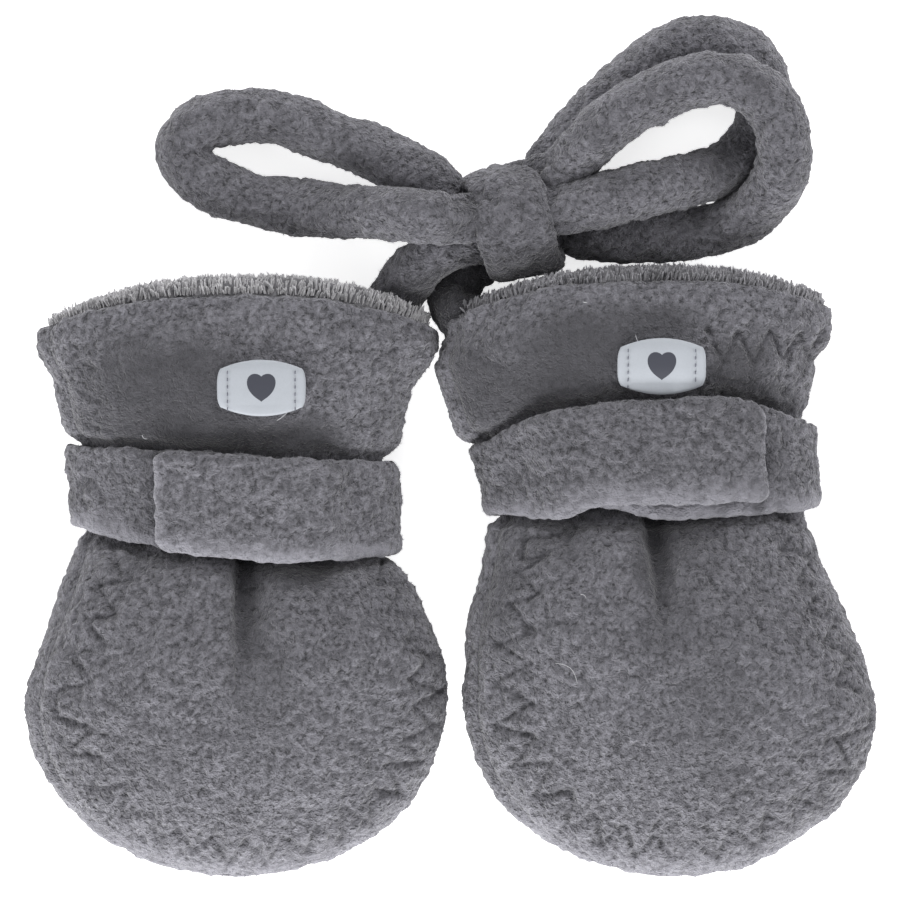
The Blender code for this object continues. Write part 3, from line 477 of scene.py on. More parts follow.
def grain(points, size, seed=0):
    """Smooth noise through space with lumps of one size, from about -1 to 1.

    A number added to a seed keeps one noise of a piece apart from its others.
    """
    place = points / size + GRAIN_OFFSET * (seed + 1)
    cell = np.floor(place).astype(np.int64)
    part = place - cell
    fade = part ** 3 * (part * (part * 6 - 15) + 10)
    total = np.zeros(points.shape[:-1])
    for corner in product((0, 1), repeat=3):
        near = cell + corner
        pick = SHUFFLE[near[..., 0] & (GRAIN_CELLS - 1)]
        pick = SHUFFLE[(pick + near[..., 1]) & (GRAIN_CELLS - 1)]
        pick = SHUFFLE[(pick + near[..., 2] + seed) & (GRAIN_CELLS - 1)]
        weight = np.where(corner, fade, 1 - fade).prod(axis=-1)
        total += weight * ((part - corner) * GRADIENTS[pick]).sum(axis=-1)
    return total * GRAIN_GAIN


def nubs(points, seed):
    """How far the nap's nubs stand above its middle height, and how deep in a crevice each is."""
    bend = np.stack([grain(points, NUB_BEND_SIZE, seed + k) for k in (20, 21, 22)], axis=-1)
    large = grain(points + bend * NUB_BEND, NUB, seed)
    small = grain(points, SMALL_NUB, seed + 5)
    height = NAP_MIDDLE + NUB_HEIGHT * large + SMALL_NUB_HEIGHT * small
    crevice = 1 - soft_step(*CREVICE, large + small / 2)
    return np.clip(height, NAP_LEAST, NAP_MOST) - NAP_MIDDLE, crevice


class Form:
    """The pouch of one mitten: any point of it, or of a layer inside or round it."""

    def __init__(self, mitten):
        self.mitten = mitten
        self.table = np.array(mitten.sections, dtype=float)
        self.along = self.table[:, 0]
        steps = np.diff(self.along)[:, None]
        slopes = np.diff(self.table, axis=0) / steps
        turning = slopes[:-1] * slopes[1:] <= 0
        low = np.where(turning, 1.0, slopes[:-1])
        high = np.where(turning, 1.0, slopes[1:])
        before = 2 * steps[1:] + steps[:-1]
        after = steps[1:] + 2 * steps[:-1]
        inner = np.where(turning, 0.0, (before + after) / (before / low + after / high))
        first = np.zeros((1, self.table.shape[1]))
        self.tangents = np.concatenate((first, inner, slopes[-1:]))

    def section(self, along):
        """Monotone cubic through the table's rows, level at the first one."""
        index = np.clip(np.searchsorted(self.along, along) - 1, 0, len(self.along) - 2)
        step = (self.along[index + 1] - self.along[index])[..., None]
        t = (along - self.along[index])[..., None] / step
        start = (1 + 2 * t) * (1 - t) ** 2 * self.table[index]
        start = start + t * (1 - t) ** 2 * step * self.tangents[index]
        end = t * t * (3 - 2 * t) * self.table[index + 1]
        row = start + end - t * t * (1 - t) * step * self.tangents[index + 1]
        return Section(*np.moveaxis(row, -1, 0))

    def point(self, along, degrees, inset=0.0, creased=True):
        """Points of the form; degrees: 0 at the left edge, 90 on top, 180 at the right edge."""
        along, degrees, inset = np.broadcast_arrays(
            np.asarray(along, float), np.asarray(degrees, float), np.asarray(inset, float))
        row = self.section(np.maximum(along, FINGER_LENGTH))
        left = np.stack((row.left_x, row.left_y), axis=-1)
        right = np.stack((row.right_x, row.right_y), axis=-1)
        reach = np.linalg.norm(right - left, axis=-1) / 2
        course = (right - left) / (2 * reach[..., None])
        turn = np.arccos(np.clip(1 - along / FINGER_LENGTH, 0, 1))
        outwards = np.stack((course[..., 1], -course[..., 0]), axis=-1)
        beyond = (FINGER_LENGTH - inset) * np.cos(turn)
        middle = (left + right) / 2 + outwards * beyond[..., None]
        round_off = np.sin(turn)
        half = (reach - inset) * round_off
        crown = (row.top - row.side - inset) * round_off
        keel = (row.side - row.floor - inset) * round_off
        cosine = np.cos(np.radians(degrees))
        sine = np.sin(np.radians(degrees))
        power = np.where(sine >= 0, 2 / DOME_POWER, 2 / BASE_POWER)
        share = -np.sign(cosine) * np.abs(cosine) ** power
        place = middle + course * (half * share)[..., None]
        x, y = place[..., 0], place[..., 1] + row.bow * (1 - np.abs(share) ** BOW_POWER)
        swell = np.abs(sine) ** power
        height = np.where(sine >= 0, row.side + crown * swell,
                          row.side - np.minimum(keel, keel * BASE_PRESS * swell))
        if creased:
            height = height - crease_depth(self.mitten.creases, x, y) * np.maximum(sine, 0)
        return np.stack((x, y, height), axis=-1)

    def plan_height(self, x, y, creased=True):
        """Height of the front at places on the plan, found by steps along the arm."""
        along = np.full(np.shape(x), PLAN_START)
        for _ in range(PLAN_STEPS):
            row = self.section(along)
            half = (row.right_x - row.left_x) / 2
            share = np.clip((x - (row.left_x + row.right_x) / 2) / half, -1, 1)
            level = row.left_y + (row.right_y - row.left_y) * (1 + share) / 2
            along = along + y - level - row.bow * (1 - np.abs(share) ** BOW_POWER)
        return self.point(along, share_to_degrees(share), 0.0, creased)[..., 2]

    def outline(self):
        """The hand's edge on the plan, from the left of the wrist round to its right."""
        sides = np.linspace(self.along[WRIST_LOW_ROW], FINGER_LENGTH, OUTLINE_SAMPLES)
        turns = np.linspace(math.pi / 2, 0, OUTLINE_SAMPLES)[1:]
        down = np.concatenate((sides, FINGER_LENGTH * (1 - np.cos(turns))))
        left = self.point(down, 0.0)[:, :2]
        right = self.point(down[::-1], 180.0)[:, :2]
        return np.concatenate((left, right[1:]))


def crease_depth(creases, x, y):
    """How far the creases of a front sink at each place."""
    depth = np.zeros(np.shape(x))
    for crease in creases:
        run_x, run_y = crease.to_x - crease.from_x, crease.to_y - crease.from_y
        length = math.hypot(run_x, run_y)
        away_x, away_y = x - crease.from_x, y - crease.from_y
        travel = (away_x * run_x + away_y * run_y) / length
        across = (away_x * run_y - away_y * run_x) / length
        width = np.where(across < 0, crease.left_width, crease.right_width)
        fade = soft_step(-CREASE_ONSET, CREASE_ONSET, travel) * (1 - soft_step(0, length, travel))
        depth = depth + crease.depth * fade * np.exp(-(across / width) ** 2)
    return depth


def share_to_degrees(share):
    """Angle on the top half of a section where it has gone a share of its half-width."""
    cosine = -np.sign(share) * np.abs(share) ** (DOME_POWER / 2)
    return np.degrees(np.arccos(np.clip(cosine, -1, 1)))


def measured(points):
    """Distance travelled along a row of points."""
    steps = np.linalg.norm(np.diff(points, axis=0), axis=1)
    return np.concatenate(([0.0], np.cumsum(steps)))


def spread(samples, travel, spacing, multiple):
    """Some of the samples, so far apart as the spacing at each, and a whole number of steps."""
    density = np.diff(travel) / ((spacing[1:] + spacing[:-1]) / 2)
    share = np.concatenate(([0.0], np.cumsum(density)))
    count = max(multiple, int(round(share[-1] / multiple)) * multiple)
    return np.interp(np.linspace(0, share[-1], count + 1), share, samples)


def zigzag(middle, reach, pitch, rng):
    """Corners of a zigzag along a curve on the plan, a little uneven as hand-guided stitching."""
    travel = measured(middle)
    stops = []
    at = 0.0
    while at < travel[-1]:
        stops.append(at)
        at += pitch / 2 * (1 + rng.uniform(-PITCH_UNEVEN, PITCH_UNEVEN))
    ahead = np.gradient(middle, axis=0)
    ahead /= np.linalg.norm(ahead, axis=1)[:, None]
    corners = []
    for i, stop in enumerate(stops):
        place = np.array([np.interp(stop, travel, middle[:, k]) for k in (0, 1)])
        course = np.array([np.interp(stop, travel, ahead[:, k]) for k in (0, 1)])
        out = np.array((course[1], -course[0])) * (1 if i % 2 else -1)
        swing = np.interp(stop, travel, reach) + rng.uniform(-STITCH_UNEVEN, STITCH_UNEVEN)
        corners.append(place + out * swing)
    return np.array(corners)


def hand_stitching(form, rng):
    """The zigzag round the hand."""
    edge = form.outline()
    travel = measured(edge)
    share = travel / travel[-1]
    table = np.array(HAND_STITCHING)
    inside = np.interp(share, table[:, 0], table[:, 1])
    reach = np.interp(share, table[:, 0], table[:, 2])
    ahead = np.gradient(edge, axis=0)
    ahead /= np.linalg.norm(ahead, axis=1)[:, None]
    inwards = np.stack((-ahead[:, 1], ahead[:, 0]), axis=1)
    return zigzag(edge + inwards * inside[:, None], reach, STITCH_PITCH, rng)


def row_stitching(row, rng):
    """The zigzag of one straight row on a cuff."""
    middle = np.linspace((row.from_x, row.from_y), (row.to_x, row.to_y), ROW_SAMPLES)
    return zigzag(middle, np.full(len(middle), row.reach), row.pitch, rng)


def dent(corners, x, y):
    """1 on the threads of a zigzag, fading to 0 a little way off."""
    nearest = np.full(np.shape(x), np.inf)
    for start, end in zip(corners[:-1], corners[1:]):
        run = end - start
        share = ((x - start[0]) * run[0] + (y - start[1]) * run[1]) / (run @ run)
        share = np.clip(share, 0, 1)
        off = np.hypot(x - start[0] - share * run[0], y - start[1] - share * run[1])
        nearest = np.minimum(nearest, off)
    return np.exp(-(nearest / STITCH_WIDTH) ** 2)


def press_and_shade(patches, points, seed):
    """How flat the nap is pressed at each place, from 0 to 1, which also sets its painted shade."""
    x = points[..., 0] + PATCH_WANDER * grain(points, PATCH_WANDER_SIZE, seed + 31)
    y = points[..., 1] + PATCH_WANDER * grain(points, PATCH_WANDER_SIZE, seed + 32)
    fray = PATCH_FRAY * grain(points, PATCH_FRAY_SIZE, seed + 33)
    pressed = np.zeros(x.shape)
    for patch in patches:
        off = ((x - patch.x) / patch.wide) ** 2 + ((y - patch.y) / patch.high) ** 2
        faded = soft_step(*PATCH_FADE, np.sqrt(off) + fray)
        pressed = np.maximum(pressed, patch.strength * (1 - faded))
    return pressed


class Cloth:
    """Points and faces gathered for one piece, in millimetres."""

    def __init__(self):
        self.points = []
        self.marks = []
        self.quads = []
        self.triangles = []
        self.count = 0

    def grid(self, points, *marks):
        """Add a grid of points with as many marks as are given, and return their numbers."""
        points = np.asarray(points)
        shape = points.shape[:-1]
        numbers = self.count + np.arange(math.prod(shape)).reshape(shape)
        self.count += numbers.size
        self.points.append(points.reshape(-1, 3))
        columns = np.zeros((numbers.size, len(MARKS)))
        for k, mark in enumerate(marks):
            columns[:, k] = np.broadcast_to(mark, shape).ravel()
        self.marks.append(columns)
        return numbers

    def fill(self, numbers):
        """Faces over a grid."""
        quads = np.stack((numbers[:-1, :-1], numbers[1:, :-1], numbers[1:, 1:],
                          numbers[:-1, 1:]), axis=-1)
        self.quads.append(quads.reshape(-1, 4))

    def strip(self, fine, coarse):
        """Triangles between two rows of points, several steps of the first to one of the other."""
        ratio = (len(fine) - 1) // (len(coarse) - 1)
        half = ratio // 2
        faces = []
        for j in range(len(coarse) - 1):
            base = j * ratio
            faces += [(coarse[j], fine[base + k], fine[base + k + 1]) for k in range(half)]
            faces.append((coarse[j], fine[base + half], coarse[j + 1]))
            faces += [(coarse[j + 1], fine[base + k], fine[base + k + 1])
                      for k in range(half, ratio)]
        self.triangles.append(np.array(faces))

    def fan(self, ring, centre):
        """Triangles from a closed row of points to one point."""
        self.triangles.append(np.stack((ring[:-1], ring[1:], np.full(len(ring) - 1, centre)), 1))

    def finish(self, name, material):
        """Make the object: its seams closed and all its faces turned outwards."""
        quads = np.concatenate(self.quads)
        triangles = np.concatenate(self.triangles + [np.zeros((0, 3), int)])
        piece = make_mesh(name, np.concatenate(self.points), quads, triangles,
                          np.concatenate(self.marks), material, True)
        mesh = bmesh.new()
        mesh.from_mesh(piece.data)
        bmesh.ops.remove_doubles(mesh, verts=mesh.verts, dist=SEAM_WELD * MM)
        bmesh.ops.dissolve_degenerate(mesh, edges=mesh.edges, dist=SEAM_WELD * MM)
        bmesh.ops.recalc_face_normals(mesh, faces=mesh.faces)
        open_edges = sum(1 for edge in mesh.edges if not edge.is_manifold)
        mesh.to_mesh(piece.data)
        mesh.free()
        if open_edges:
            raise RuntimeError(f"{name} has {open_edges} open edges")
        return piece


def make_mesh(name, points, quads, triangles, marks, material, smooth):
    """An object of points in millimetres and faces, with its marks as attributes."""
    mesh = bpy.data.meshes.new(name)
    mesh.vertices.add(len(points))
    mesh.vertices.foreach_set("co", (points * MM).astype(np.float32).ravel())
    corners = np.concatenate((quads.ravel(), triangles.ravel())).astype(np.int32)
    sizes = np.concatenate((np.full(len(quads), 4), np.full(len(triangles), 3)))
    starts = np.concatenate(([0], np.cumsum(sizes)[:-1])).astype(np.int32)
    mesh.loops.add(len(corners))
    mesh.loops.foreach_set("vertex_index", corners)
    mesh.polygons.add(len(sizes))
    mesh.polygons.foreach_set("loop_start", starts)
    mesh.polygons.foreach_set("use_smooth", np.full(len(sizes), smooth))
    mesh.update(calc_edges=True)
    if mesh.validate():
        raise RuntimeError(f"{name} has faces that aren't sound")
    for k, mark in enumerate(MARKS):
        layer = mesh.attributes.new(mark, "FLOAT", "POINT")
        layer.data.foreach_set("value", np.clip(marks[:, k], 0, 1).astype(np.float32))
    piece = bpy.data.objects.new(name, mesh)
    bpy.context.scene.collection.objects.link(piece)
    mesh.materials.append(material)
    return piece


FORMS = [Form(mitten) for mitten in MITTENS]


def napped(points, normals, hollow_shade, pressed, height, seed):
    """Raise the nap on a layer of cloth.  Returns its points and the painted shade of its crevices
    and hollows.
    """
    rise, crevice = nubs(points, seed)
    rise = rise * (1 - NAP_PRESSED * pressed) * (1 - NAP_SUNK * hollow_shade)
    rise = rise + LUMP_HEIGHT * grain(points, LUMP, seed + 11) * (1 - LUMP_PRESSED * pressed)
    raised = points + normals * (rise * height)[..., None]
    raised[..., 2] = np.maximum(raised[..., 2], LOWEST)
    shade = CREVICE_SHADE * crevice * (1 - CREVICE_PRESSED * pressed) + HOLLOW_SHADE * hollow_shade
    return raised, np.clip(shade, 0, 1)


class Surface:
    """The shown side of a piece, kept so that loose fibres can be set on it."""

    shown = []

    def __init__(self, owner, points, normals, pressed, density=1.0):
        self.owner, self.points, self.normals = owner, points, normals
        self.pressed, self.density = pressed, density
        Surface.shown.append(self)


def under_strap(form, along):
    """1 where the strap hides the cloth, 0 where it shows."""
    low, high = form.along[WRIST_LOW_ROW], form.along[WRIST_HIGH_ROW]
    goes = soft_step(low + HIDDEN_LOW[0], low + HIDDEN_LOW[1], along)
    comes = soft_step(high - HIDDEN_HIGH[0], high - HIDDEN_HIGH[1], along)
    return goes * (1 - comes)


def tucked_shade(form, along):
    """1 in the painted shade where the cloth goes in under the strap's edges, 0 away from them."""
    low, high = form.along[WRIST_LOW_ROW], form.along[WRIST_HIGH_ROW]
    goes = soft_step(low - TUCK_LOW[0], low + TUCK_LOW[1], along)
    comes = soft_step(high - TUCK_HIGH[0], high + TUCK_HIGH[1], along)
    return goes * (1 - comes)


def panel_rows(form):
    """Distances along the arm, close together but where the strap hides the cloth."""
    turns = np.linspace(0, math.pi / 2, TIP_SAMPLES)[:-1]
    samples = np.concatenate((FINGER_LENGTH * (1 - np.cos(turns)),
                              np.linspace(FINGER_LENGTH, form.along[RIM_ROW], ARM_SAMPLES)))
    travel = measured(form.point(samples, 90.0, 0.0, False))
    spacing = FINE + (UNDER_STRAP - FINE) * under_strap(form, samples)
    return spread(samples, travel, spacing, INNER_RATIO)


def panel_columns(form, start, end):
    """Angles round the pouch, evenly apart on the cloth but wider on the flat underside."""
    samples = np.linspace(start, end, ROUND_SAMPLES)
    travel = measured(form.point(COLUMNS_AT, samples, 0.0, False))
    under = soft_step(*BENEATH, np.maximum(0, -np.sin(np.radians(samples))))
    return spread(samples, travel, FINE + (UNDERSIDE - FINE) * under, INNER_RATIO)


def seam_shift(form, along, degrees, distance):
    """The angle a distance further round the section, at each distance along the arm."""
    slowest, most_degrees = 0.02, 4.0
    here = form.point(along, degrees, 0.0, False)
    there = form.point(along, degrees + 1.0, 0.0, False)
    speed = np.maximum(np.linalg.norm(there - here, axis=-1), slowest)
    return degrees + math.copysign(1, distance) * np.minimum(abs(distance) / speed, most_degrees)


def rim_lip(form, along):
    """How far the two faces of a panel draw together at its rounded rim."""
    past = np.clip(RIM_LIP - (form.along[RIM_ROW] - along), 0, RIM_LIP)
    return RIM_LIP - np.sqrt(RIM_LIP ** 2 - past ** 2)


def panel_angles(form, along, across, start, end):
    """Every angle of a panel's grid, its first and last half a gap from the seams."""
    first = seam_shift(form, along, start, SEAM_GAP / 2)
    last = seam_shift(form, along, end, -SEAM_GAP / 2)
    share = (across - start) / (end - start)
    return first[:, None] + (last - first)[:, None] * share[None, :]


def stitch_dents(mitten, form, x, y, rng):
    """How far the rows of zigzag stitching draw the cloth in."""
    dents = dent(hand_stitching(form, rng), x, y)
    for row in mitten.rows:
        dents = np.maximum(dents, row.depth * dent(row_stitching(row, rng), x, y))
    return dents


def build_panel(mitten, form, side, material, height):
    """The front or the back of a mitten: a cloth wall from one side seam to the other."""
    front = side == "front"
    start, end = (LEFT_SEAM, RIGHT_SEAM) if front else (RIGHT_SEAM, 360 + LEFT_SEAM)
    seed = mitten.seed + (0 if front else 100)
    rows = panel_rows(form)
    columns = panel_columns(form, start, end)
    angles = panel_angles(form, rows, columns, start, end)
    base = form.point(rows[:, None], angles, rim_lip(form, rows)[:, None])
    normals = outward_normals(base, base + (0, 0, 1 if front else -1))
    normals[0] = normals[1].mean(axis=0) / np.linalg.norm(normals[1].mean(axis=0))

    across = np.stack([measured(row) for row in base])
    from_seam = np.minimum(across, across[:, -1:] - across)
    shows = (1 - under_strap(form, rows))[:, None]
    from_tip = soft_step(0, TIP_FADE, measured(base[:, base.shape[1] // 2]))[:, None]
    rolled = SEAM_DEPTH * np.exp(-(from_seam / SEAM_ROLL) ** 2) * from_tip
    x, y = base[..., 0], base[..., 1]
    stitched = stitch_dents(mitten, form, x, y, np.random.default_rng(seed)) * shows
    pressed = press_and_shade(mitten.patches, base, seed) if front else np.zeros(x.shape)
    faint = FAINT_MIDDLE + FAINT_RANGE * grain(base, FAINT_SIZE, seed + 41)
    stitched = stitched * np.clip(faint, FAINT_LEAST, FAINT_MOST)
    # Painted shade in the stitching, the turned-in seams, the creases and where the cloth goes
    # under the strap
    hollow_shade = STITCH_SHADE * stitched + ROLL_SHADE * rolled
    if front:
        deep = np.clip(crease_depth(mitten.creases, x, y) / DARKEST_CREASE, 0, 1)
        hollow_shade = hollow_shade + CREASE_SHADE * deep ** CREASE_GATHER
    hollow_shade = np.clip(hollow_shade + TUCK_SHADE * tucked_shade(form, rows)[:, None], 0, 1)
    joined = soft_step(0, SEAM_FADE, from_seam)
    shows = shows * joined
    waves = (LONG_WAVE_HEIGHT * grain(base, LONG_WAVE, seed + 3)
             + SHORT_WAVE_HEIGHT * grain(base, SHORT_WAVE, seed + 4))
    sunk = rolled + STITCH_SINK * stitched * joined - waves * shows
    shaped = base - normals * np.minimum(sunk, SUNK_MOST)[..., None]
    outer, shade = napped(shaped, normals, hollow_shade, pressed, height * shows, seed)

    inner_rows, inner_columns = rows[::INNER_RATIO], columns[::INNER_RATIO]
    inner_angles = panel_angles(form, inner_rows, inner_columns, start, end)
    inner = form.point(inner_rows[:, None], inner_angles,
                       FLEECE - rim_lip(form, inner_rows)[:, None])
    for layer in (outer, inner):
        layer[0, :, 2] += SEAM_GAP / 2 if front else -SEAM_GAP / 2

    # Painted highlight on the fingertips where they face the near soft box
    past_fingers = soft_step(FINGER_LENGTH - FINGERTIP_HIGHLIGHT_REACH, FINGER_LENGTH, rows)
    tip_highlight = FINGERTIP_HIGHLIGHT * soft_step(*FINGER_TURN, -normals[..., 1])
    tip_highlight = tip_highlight * (1 - past_fingers)[:, None]
    cloth = Cloth()
    outside = cloth.grid(outer, shade, pressed, tip_highlight)
    inside = cloth.grid(inner, np.full(inner.shape[:-1], 0.5))
    cloth.fill(outside)
    cloth.fill(inside)
    for fine, coarse in ((outside[-1], inside[-1]), (outside[:, 0], inside[:, 0]),
                         (outside[:, -1], inside[:, -1])):
        cloth.strip(fine, coarse)
    piece = cloth.finish(f"{mitten.side}_{side}_cloth", material)
    Surface(mitten.side, outer, normals, pressed, 1.0 if front else BACK_FIBRES)
    middle = form.point(rows[:, None], angles, FLEECE / 2)
    declare(piece, f"{mitten.side}_{side}_panel", "fleece",
            (across[:, -1].max(), measured(base[:, base.shape[1] // 2])[-1]), layer_area(middle))


def outward_normals(points, beyond):
    """Unit normals of a grid, turned to the side where the points beyond lie."""
    down, across = np.gradient(points, axis=0), np.gradient(points, axis=1)
    normals = np.cross(down, across)
    normals /= np.maximum(np.linalg.norm(normals, axis=-1, keepdims=True), 1e-9)
    if (normals * (beyond - points)).sum() < 0:
        normals = -normals
    return normals


def layer_area(points):
    """Area of a grid of points, in square millimetres."""
    a = points[1:, :-1] - points[:-1, :-1]
    b = points[:-1, 1:] - points[:-1, :-1]
    return float(np.linalg.norm(np.cross(a, b), axis=-1).sum())


def declare(piece, node, slot, flat, area):
    """Put a piece of cloth in its CAD node's place; the size and area of its cut are worked out but
    not used.
    """
    place(piece, slot, node)
    width, length = float(flat[0]), float(flat[1])
    area = min(float(area), width * length)
    area * MM * MM


def place(piece, slot, *nodes):
    """Fix a piece to the object, in the place of its CAD nodes if it has any."""
    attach(piece, "root")
    if nodes:
        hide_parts(*nodes)


def band_section(low, high, near, far, shown, hidden):
    """Outline of a band: its shown face and rounded edges, then its hidden face."""
    soft = min(SOFT_ROUND, (far - near) / 2 - BAND_FLAT)
    turn = np.linspace(0, math.pi / 2, BAND_CORNER + 1)
    bend, rise = soft * np.sin(turn), soft * np.cos(turn)
    top = np.linspace(low + soft, high - soft, shown + 1)[1:-1]
    back = np.linspace(high - soft, low + soft, hidden + 1)[1:-1]
    parts = (
        (low + soft - rise, far - soft + bend),
        (top, np.full(len(top), far)),
        (high - soft + bend, far - soft + rise),
        (high - soft + rise, near + soft - bend),
        (back, np.full(len(back), near)),
        (low + soft - bend, near + soft - rise),
    )
    return np.concatenate([np.stack(part, axis=1) for part in parts])


def build_band(mitten, form, label, node, stations, outlines, material, height, seed, press,
               band_shade, fold_highlight):
    """A strap or tab: closed outlines along a row of angles, napped where it shows.

    Shade and highlight give, for each angle, its painted shade and the painted highlight of a
    folded edge.
    """
    base = np.stack([form.point(outline[:, 0], degrees, -outline[:, 1], False)
                     for degrees, outline in zip(stations, outlines)])
    ring = np.concatenate((base, base[:, :1]), axis=1)
    centre = base.mean(axis=1, keepdims=True)
    normals = outward_normals(ring, 2 * ring - centre)[:, :-1]
    hidden = np.stack([row[:, 1] - row[:, 1].min() < HIDDEN_FACE for row in outlines])
    pressed = press * soft_step(*BAND_PATCH, grain(base, BAND_PATCH_SIZE, seed + 60))
    # Painted highlight on the low edge, which faces the near soft box, and on a folded free end
    from_low = np.stack([outline[:, 0] - outline[:, 0].min() for outline in outlines])
    wander = EDGE_HIGHLIGHT_WANDER * grain(base, EDGE_HIGHLIGHT, seed + 61)
    light = EDGE_HIGHLIGHT_SHARE * (1 - soft_step(0.0, EDGE_HIGHLIGHT, from_low + wander))
    light = np.maximum(light, np.broadcast_to(fold_highlight[:, None], light.shape))
    # Painted shade along the band
    dark = np.broadcast_to(band_shade[:, None], light.shape)
    sag = (BAND_LONG_HEIGHT * grain(base, BAND_LONG_WAVE, seed + 40)
           + BAND_SHORT_HEIGHT * grain(base, BAND_SHORT_WAVE, seed + 42))
    shaped = base + normals * np.where(hidden, 0, sag)[..., None]
    outer, shade = napped(shaped, normals, dark, np.maximum(pressed, HIGHLIGHT_LIES_FLAT * light),
                          height * np.where(hidden, 0, 1), seed)
    cloth = Cloth()
    numbers = cloth.grid(outer, shade, pressed, light)
    wrapped = np.concatenate((numbers, numbers[:, :1]), axis=1)
    cloth.fill(wrapped)
    ends = cloth.grid(np.stack((outer[0].mean(axis=0), outer[-1].mean(axis=0)))[None])
    cloth.fan(wrapped[0], ends[0, 0])
    cloth.fan(wrapped[-1], ends[0, 1])
    piece = cloth.finish(f"{mitten.side}_{label}_cloth", material)
    shown = int((~hidden[len(hidden) // 2]).sum())
    Surface(mitten.side, outer[:, :shown], normals[:, :shown], pressed[:, :shown], BAND_FIBRES)
    length = measured(base[:, shown // 2])[-1]
    loop = np.concatenate((base, base[:, :1]), axis=1)
    width = np.mean([measured(row)[-1] for row in loop]) / 2
    declare(piece, node, "strap_fleece", (width, length), width * length)


def build_strap(mitten, form, material, height):
    """The strap: from under its tab, round one side and the back, to the seam with the tab."""
    towards = 1 if mitten.tab.sewn_right else -1
    low = form.along[WRIST_LOW_ROW] + STRAP_MARGIN
    high = form.along[WRIST_HIGH_ROW] - STRAP_MARGIN
    start = float(share_to_degrees(STRAP_UNDER_TAB * towards))
    end = -180 + STRAP_MEETS_TAB if mitten.tab.sewn_right else 360 - STRAP_MEETS_TAB
    samples = np.linspace(start, end, ROUND_SAMPLES)
    travel = measured(form.point((low + high) / 2, samples, -STRAP, False))
    beneath = soft_step(*STRAP_BENEATH, -np.sin(np.radians(samples)))
    stations = spread(samples, travel, FINE + (UNDERSIDE - FINE) * beneath, 1)
    along = np.interp(stations, *in_order(samples, travel))
    tapers = STRAP_TAPER * (1 - soft_step(0, STRAP_TAPER_LENGTH, along))
    outlines = [band_section(low + taper, high, GAP, GAP + STRAP, *STRAP_POINTS)
                for taper in tapers]
    tab_end = float(share_to_degrees(mitten.tab.free_end))
    # Painted shadow on the strap beside the tab's free end, close in and further off
    beside = np.abs(along - np.interp(tab_end, *in_order(samples, travel)))
    band_shade = (TAB_SHADOW_CLOSE * np.exp(-(beside / TAB_SHADOW_CLOSE_REACH) ** 2)
               + TAB_SHADOW_WIDE * np.exp(-beside / TAB_SHADOW_WIDE_REACH))
    build_band(mitten, form, "strap", f"{mitten.side}_wrist_strap", stations, outlines, material,
               height, mitten.seed + 200, STRAP_PRESSED, band_shade, np.zeros(len(stations)))


def in_order(samples, values):
    """Two rows of numbers, turned so that the first one rises."""
    return (samples, values) if samples[0] < samples[-1] else (samples[::-1], values[::-1])


def build_tab(mitten, form, material, height):
    """The tab: from the side seam it climbs on the strap and lies over it."""
    tab = mitten.tab
    towards = 1 if tab.sewn_right else -1
    strap_low = form.along[WRIST_LOW_ROW] + STRAP_MARGIN
    strap_high = form.along[WRIST_HIGH_ROW] - STRAP_MARGIN
    wrist = mitten.sections[WRIST_LOW_ROW]
    half_width = (wrist.right_x - wrist.left_x) / 2
    free = float(share_to_degrees(tab.free_end))
    on_strap = float(share_to_degrees((STRAP_UNDER_TAB + TAB_CLEAR_OF_END) * towards))
    off_strap = float(share_to_degrees((STRAP_UNDER_TAB + TAB_CLIMB) * towards))
    below = STRAP_MEETS_TAB - SEAM_ALLOWANCE
    sewn = 180 + below if tab.sewn_right else -below
    samples = np.linspace(free, sewn, ROUND_SAMPLES)
    travel = measured(form.point((strap_low + strap_high) / 2, samples, -2 * STRAP, False))
    close = np.exp(-travel / TAB_FINER_REACH)
    stations = spread(samples, travel, TAB_FINE - TAB_FINER * close, 1)
    outlines, from_ends = [], []
    strap_end = float(share_to_degrees(STRAP_UNDER_TAB * towards))
    for degrees in stations:
        climb = 1 - float(soft_step(0, abs(off_strap - on_strap), towards * (degrees - on_strap)))
        past_strap = towards * (degrees - strap_end)
        drawn = 1 - float(soft_step(-STRAP_SHOWS_AFTER, STRAP_SHOWS_AFTER, past_strap))
        near = GAP + (GAP + STRAP) * climb
        from_end = math.radians(abs(degrees - free)) * half_width
        trim = rounded_off(from_end, TAB_CORNER)
        thin = TAB_THIN * rounded_off(from_end, SOFT_ROUND)
        outlines.append(band_section(strap_low + tab.lower_shift * drawn + trim,
                                     strap_high + tab.upper_shift * climb - trim,
                                     near + thin, near + STRAP - thin, *TAB_POINTS))
        from_ends.append(from_end)
    # Painted highlight on the folded free end; painted shade over the tab, more where its side
    # turns down
    fold_highlight = TAB_FOLD_HIGHLIGHT * np.exp(-(np.array(from_ends) / TAB_FOLD_REACH) ** 2)
    turned = towards * (stations - float(share_to_degrees(TAB_SIDE_FROM * towards)))
    shade = tab.shade + tab.side_shade * soft_step(0, TAB_SIDE_REACH, turned)
    build_band(mitten, form, "tab", f"{mitten.side}_strap_tab", stations, outlines, material,
               height, mitten.seed + 300, TAB_PRESSED, shade, fold_highlight)


def rounded_off(distance, radius):
    """How much a rounded end takes off at a distance from it."""
    if distance >= radius:
        return 0.0
    return radius - math.sqrt(radius ** 2 - (radius - distance) ** 2)


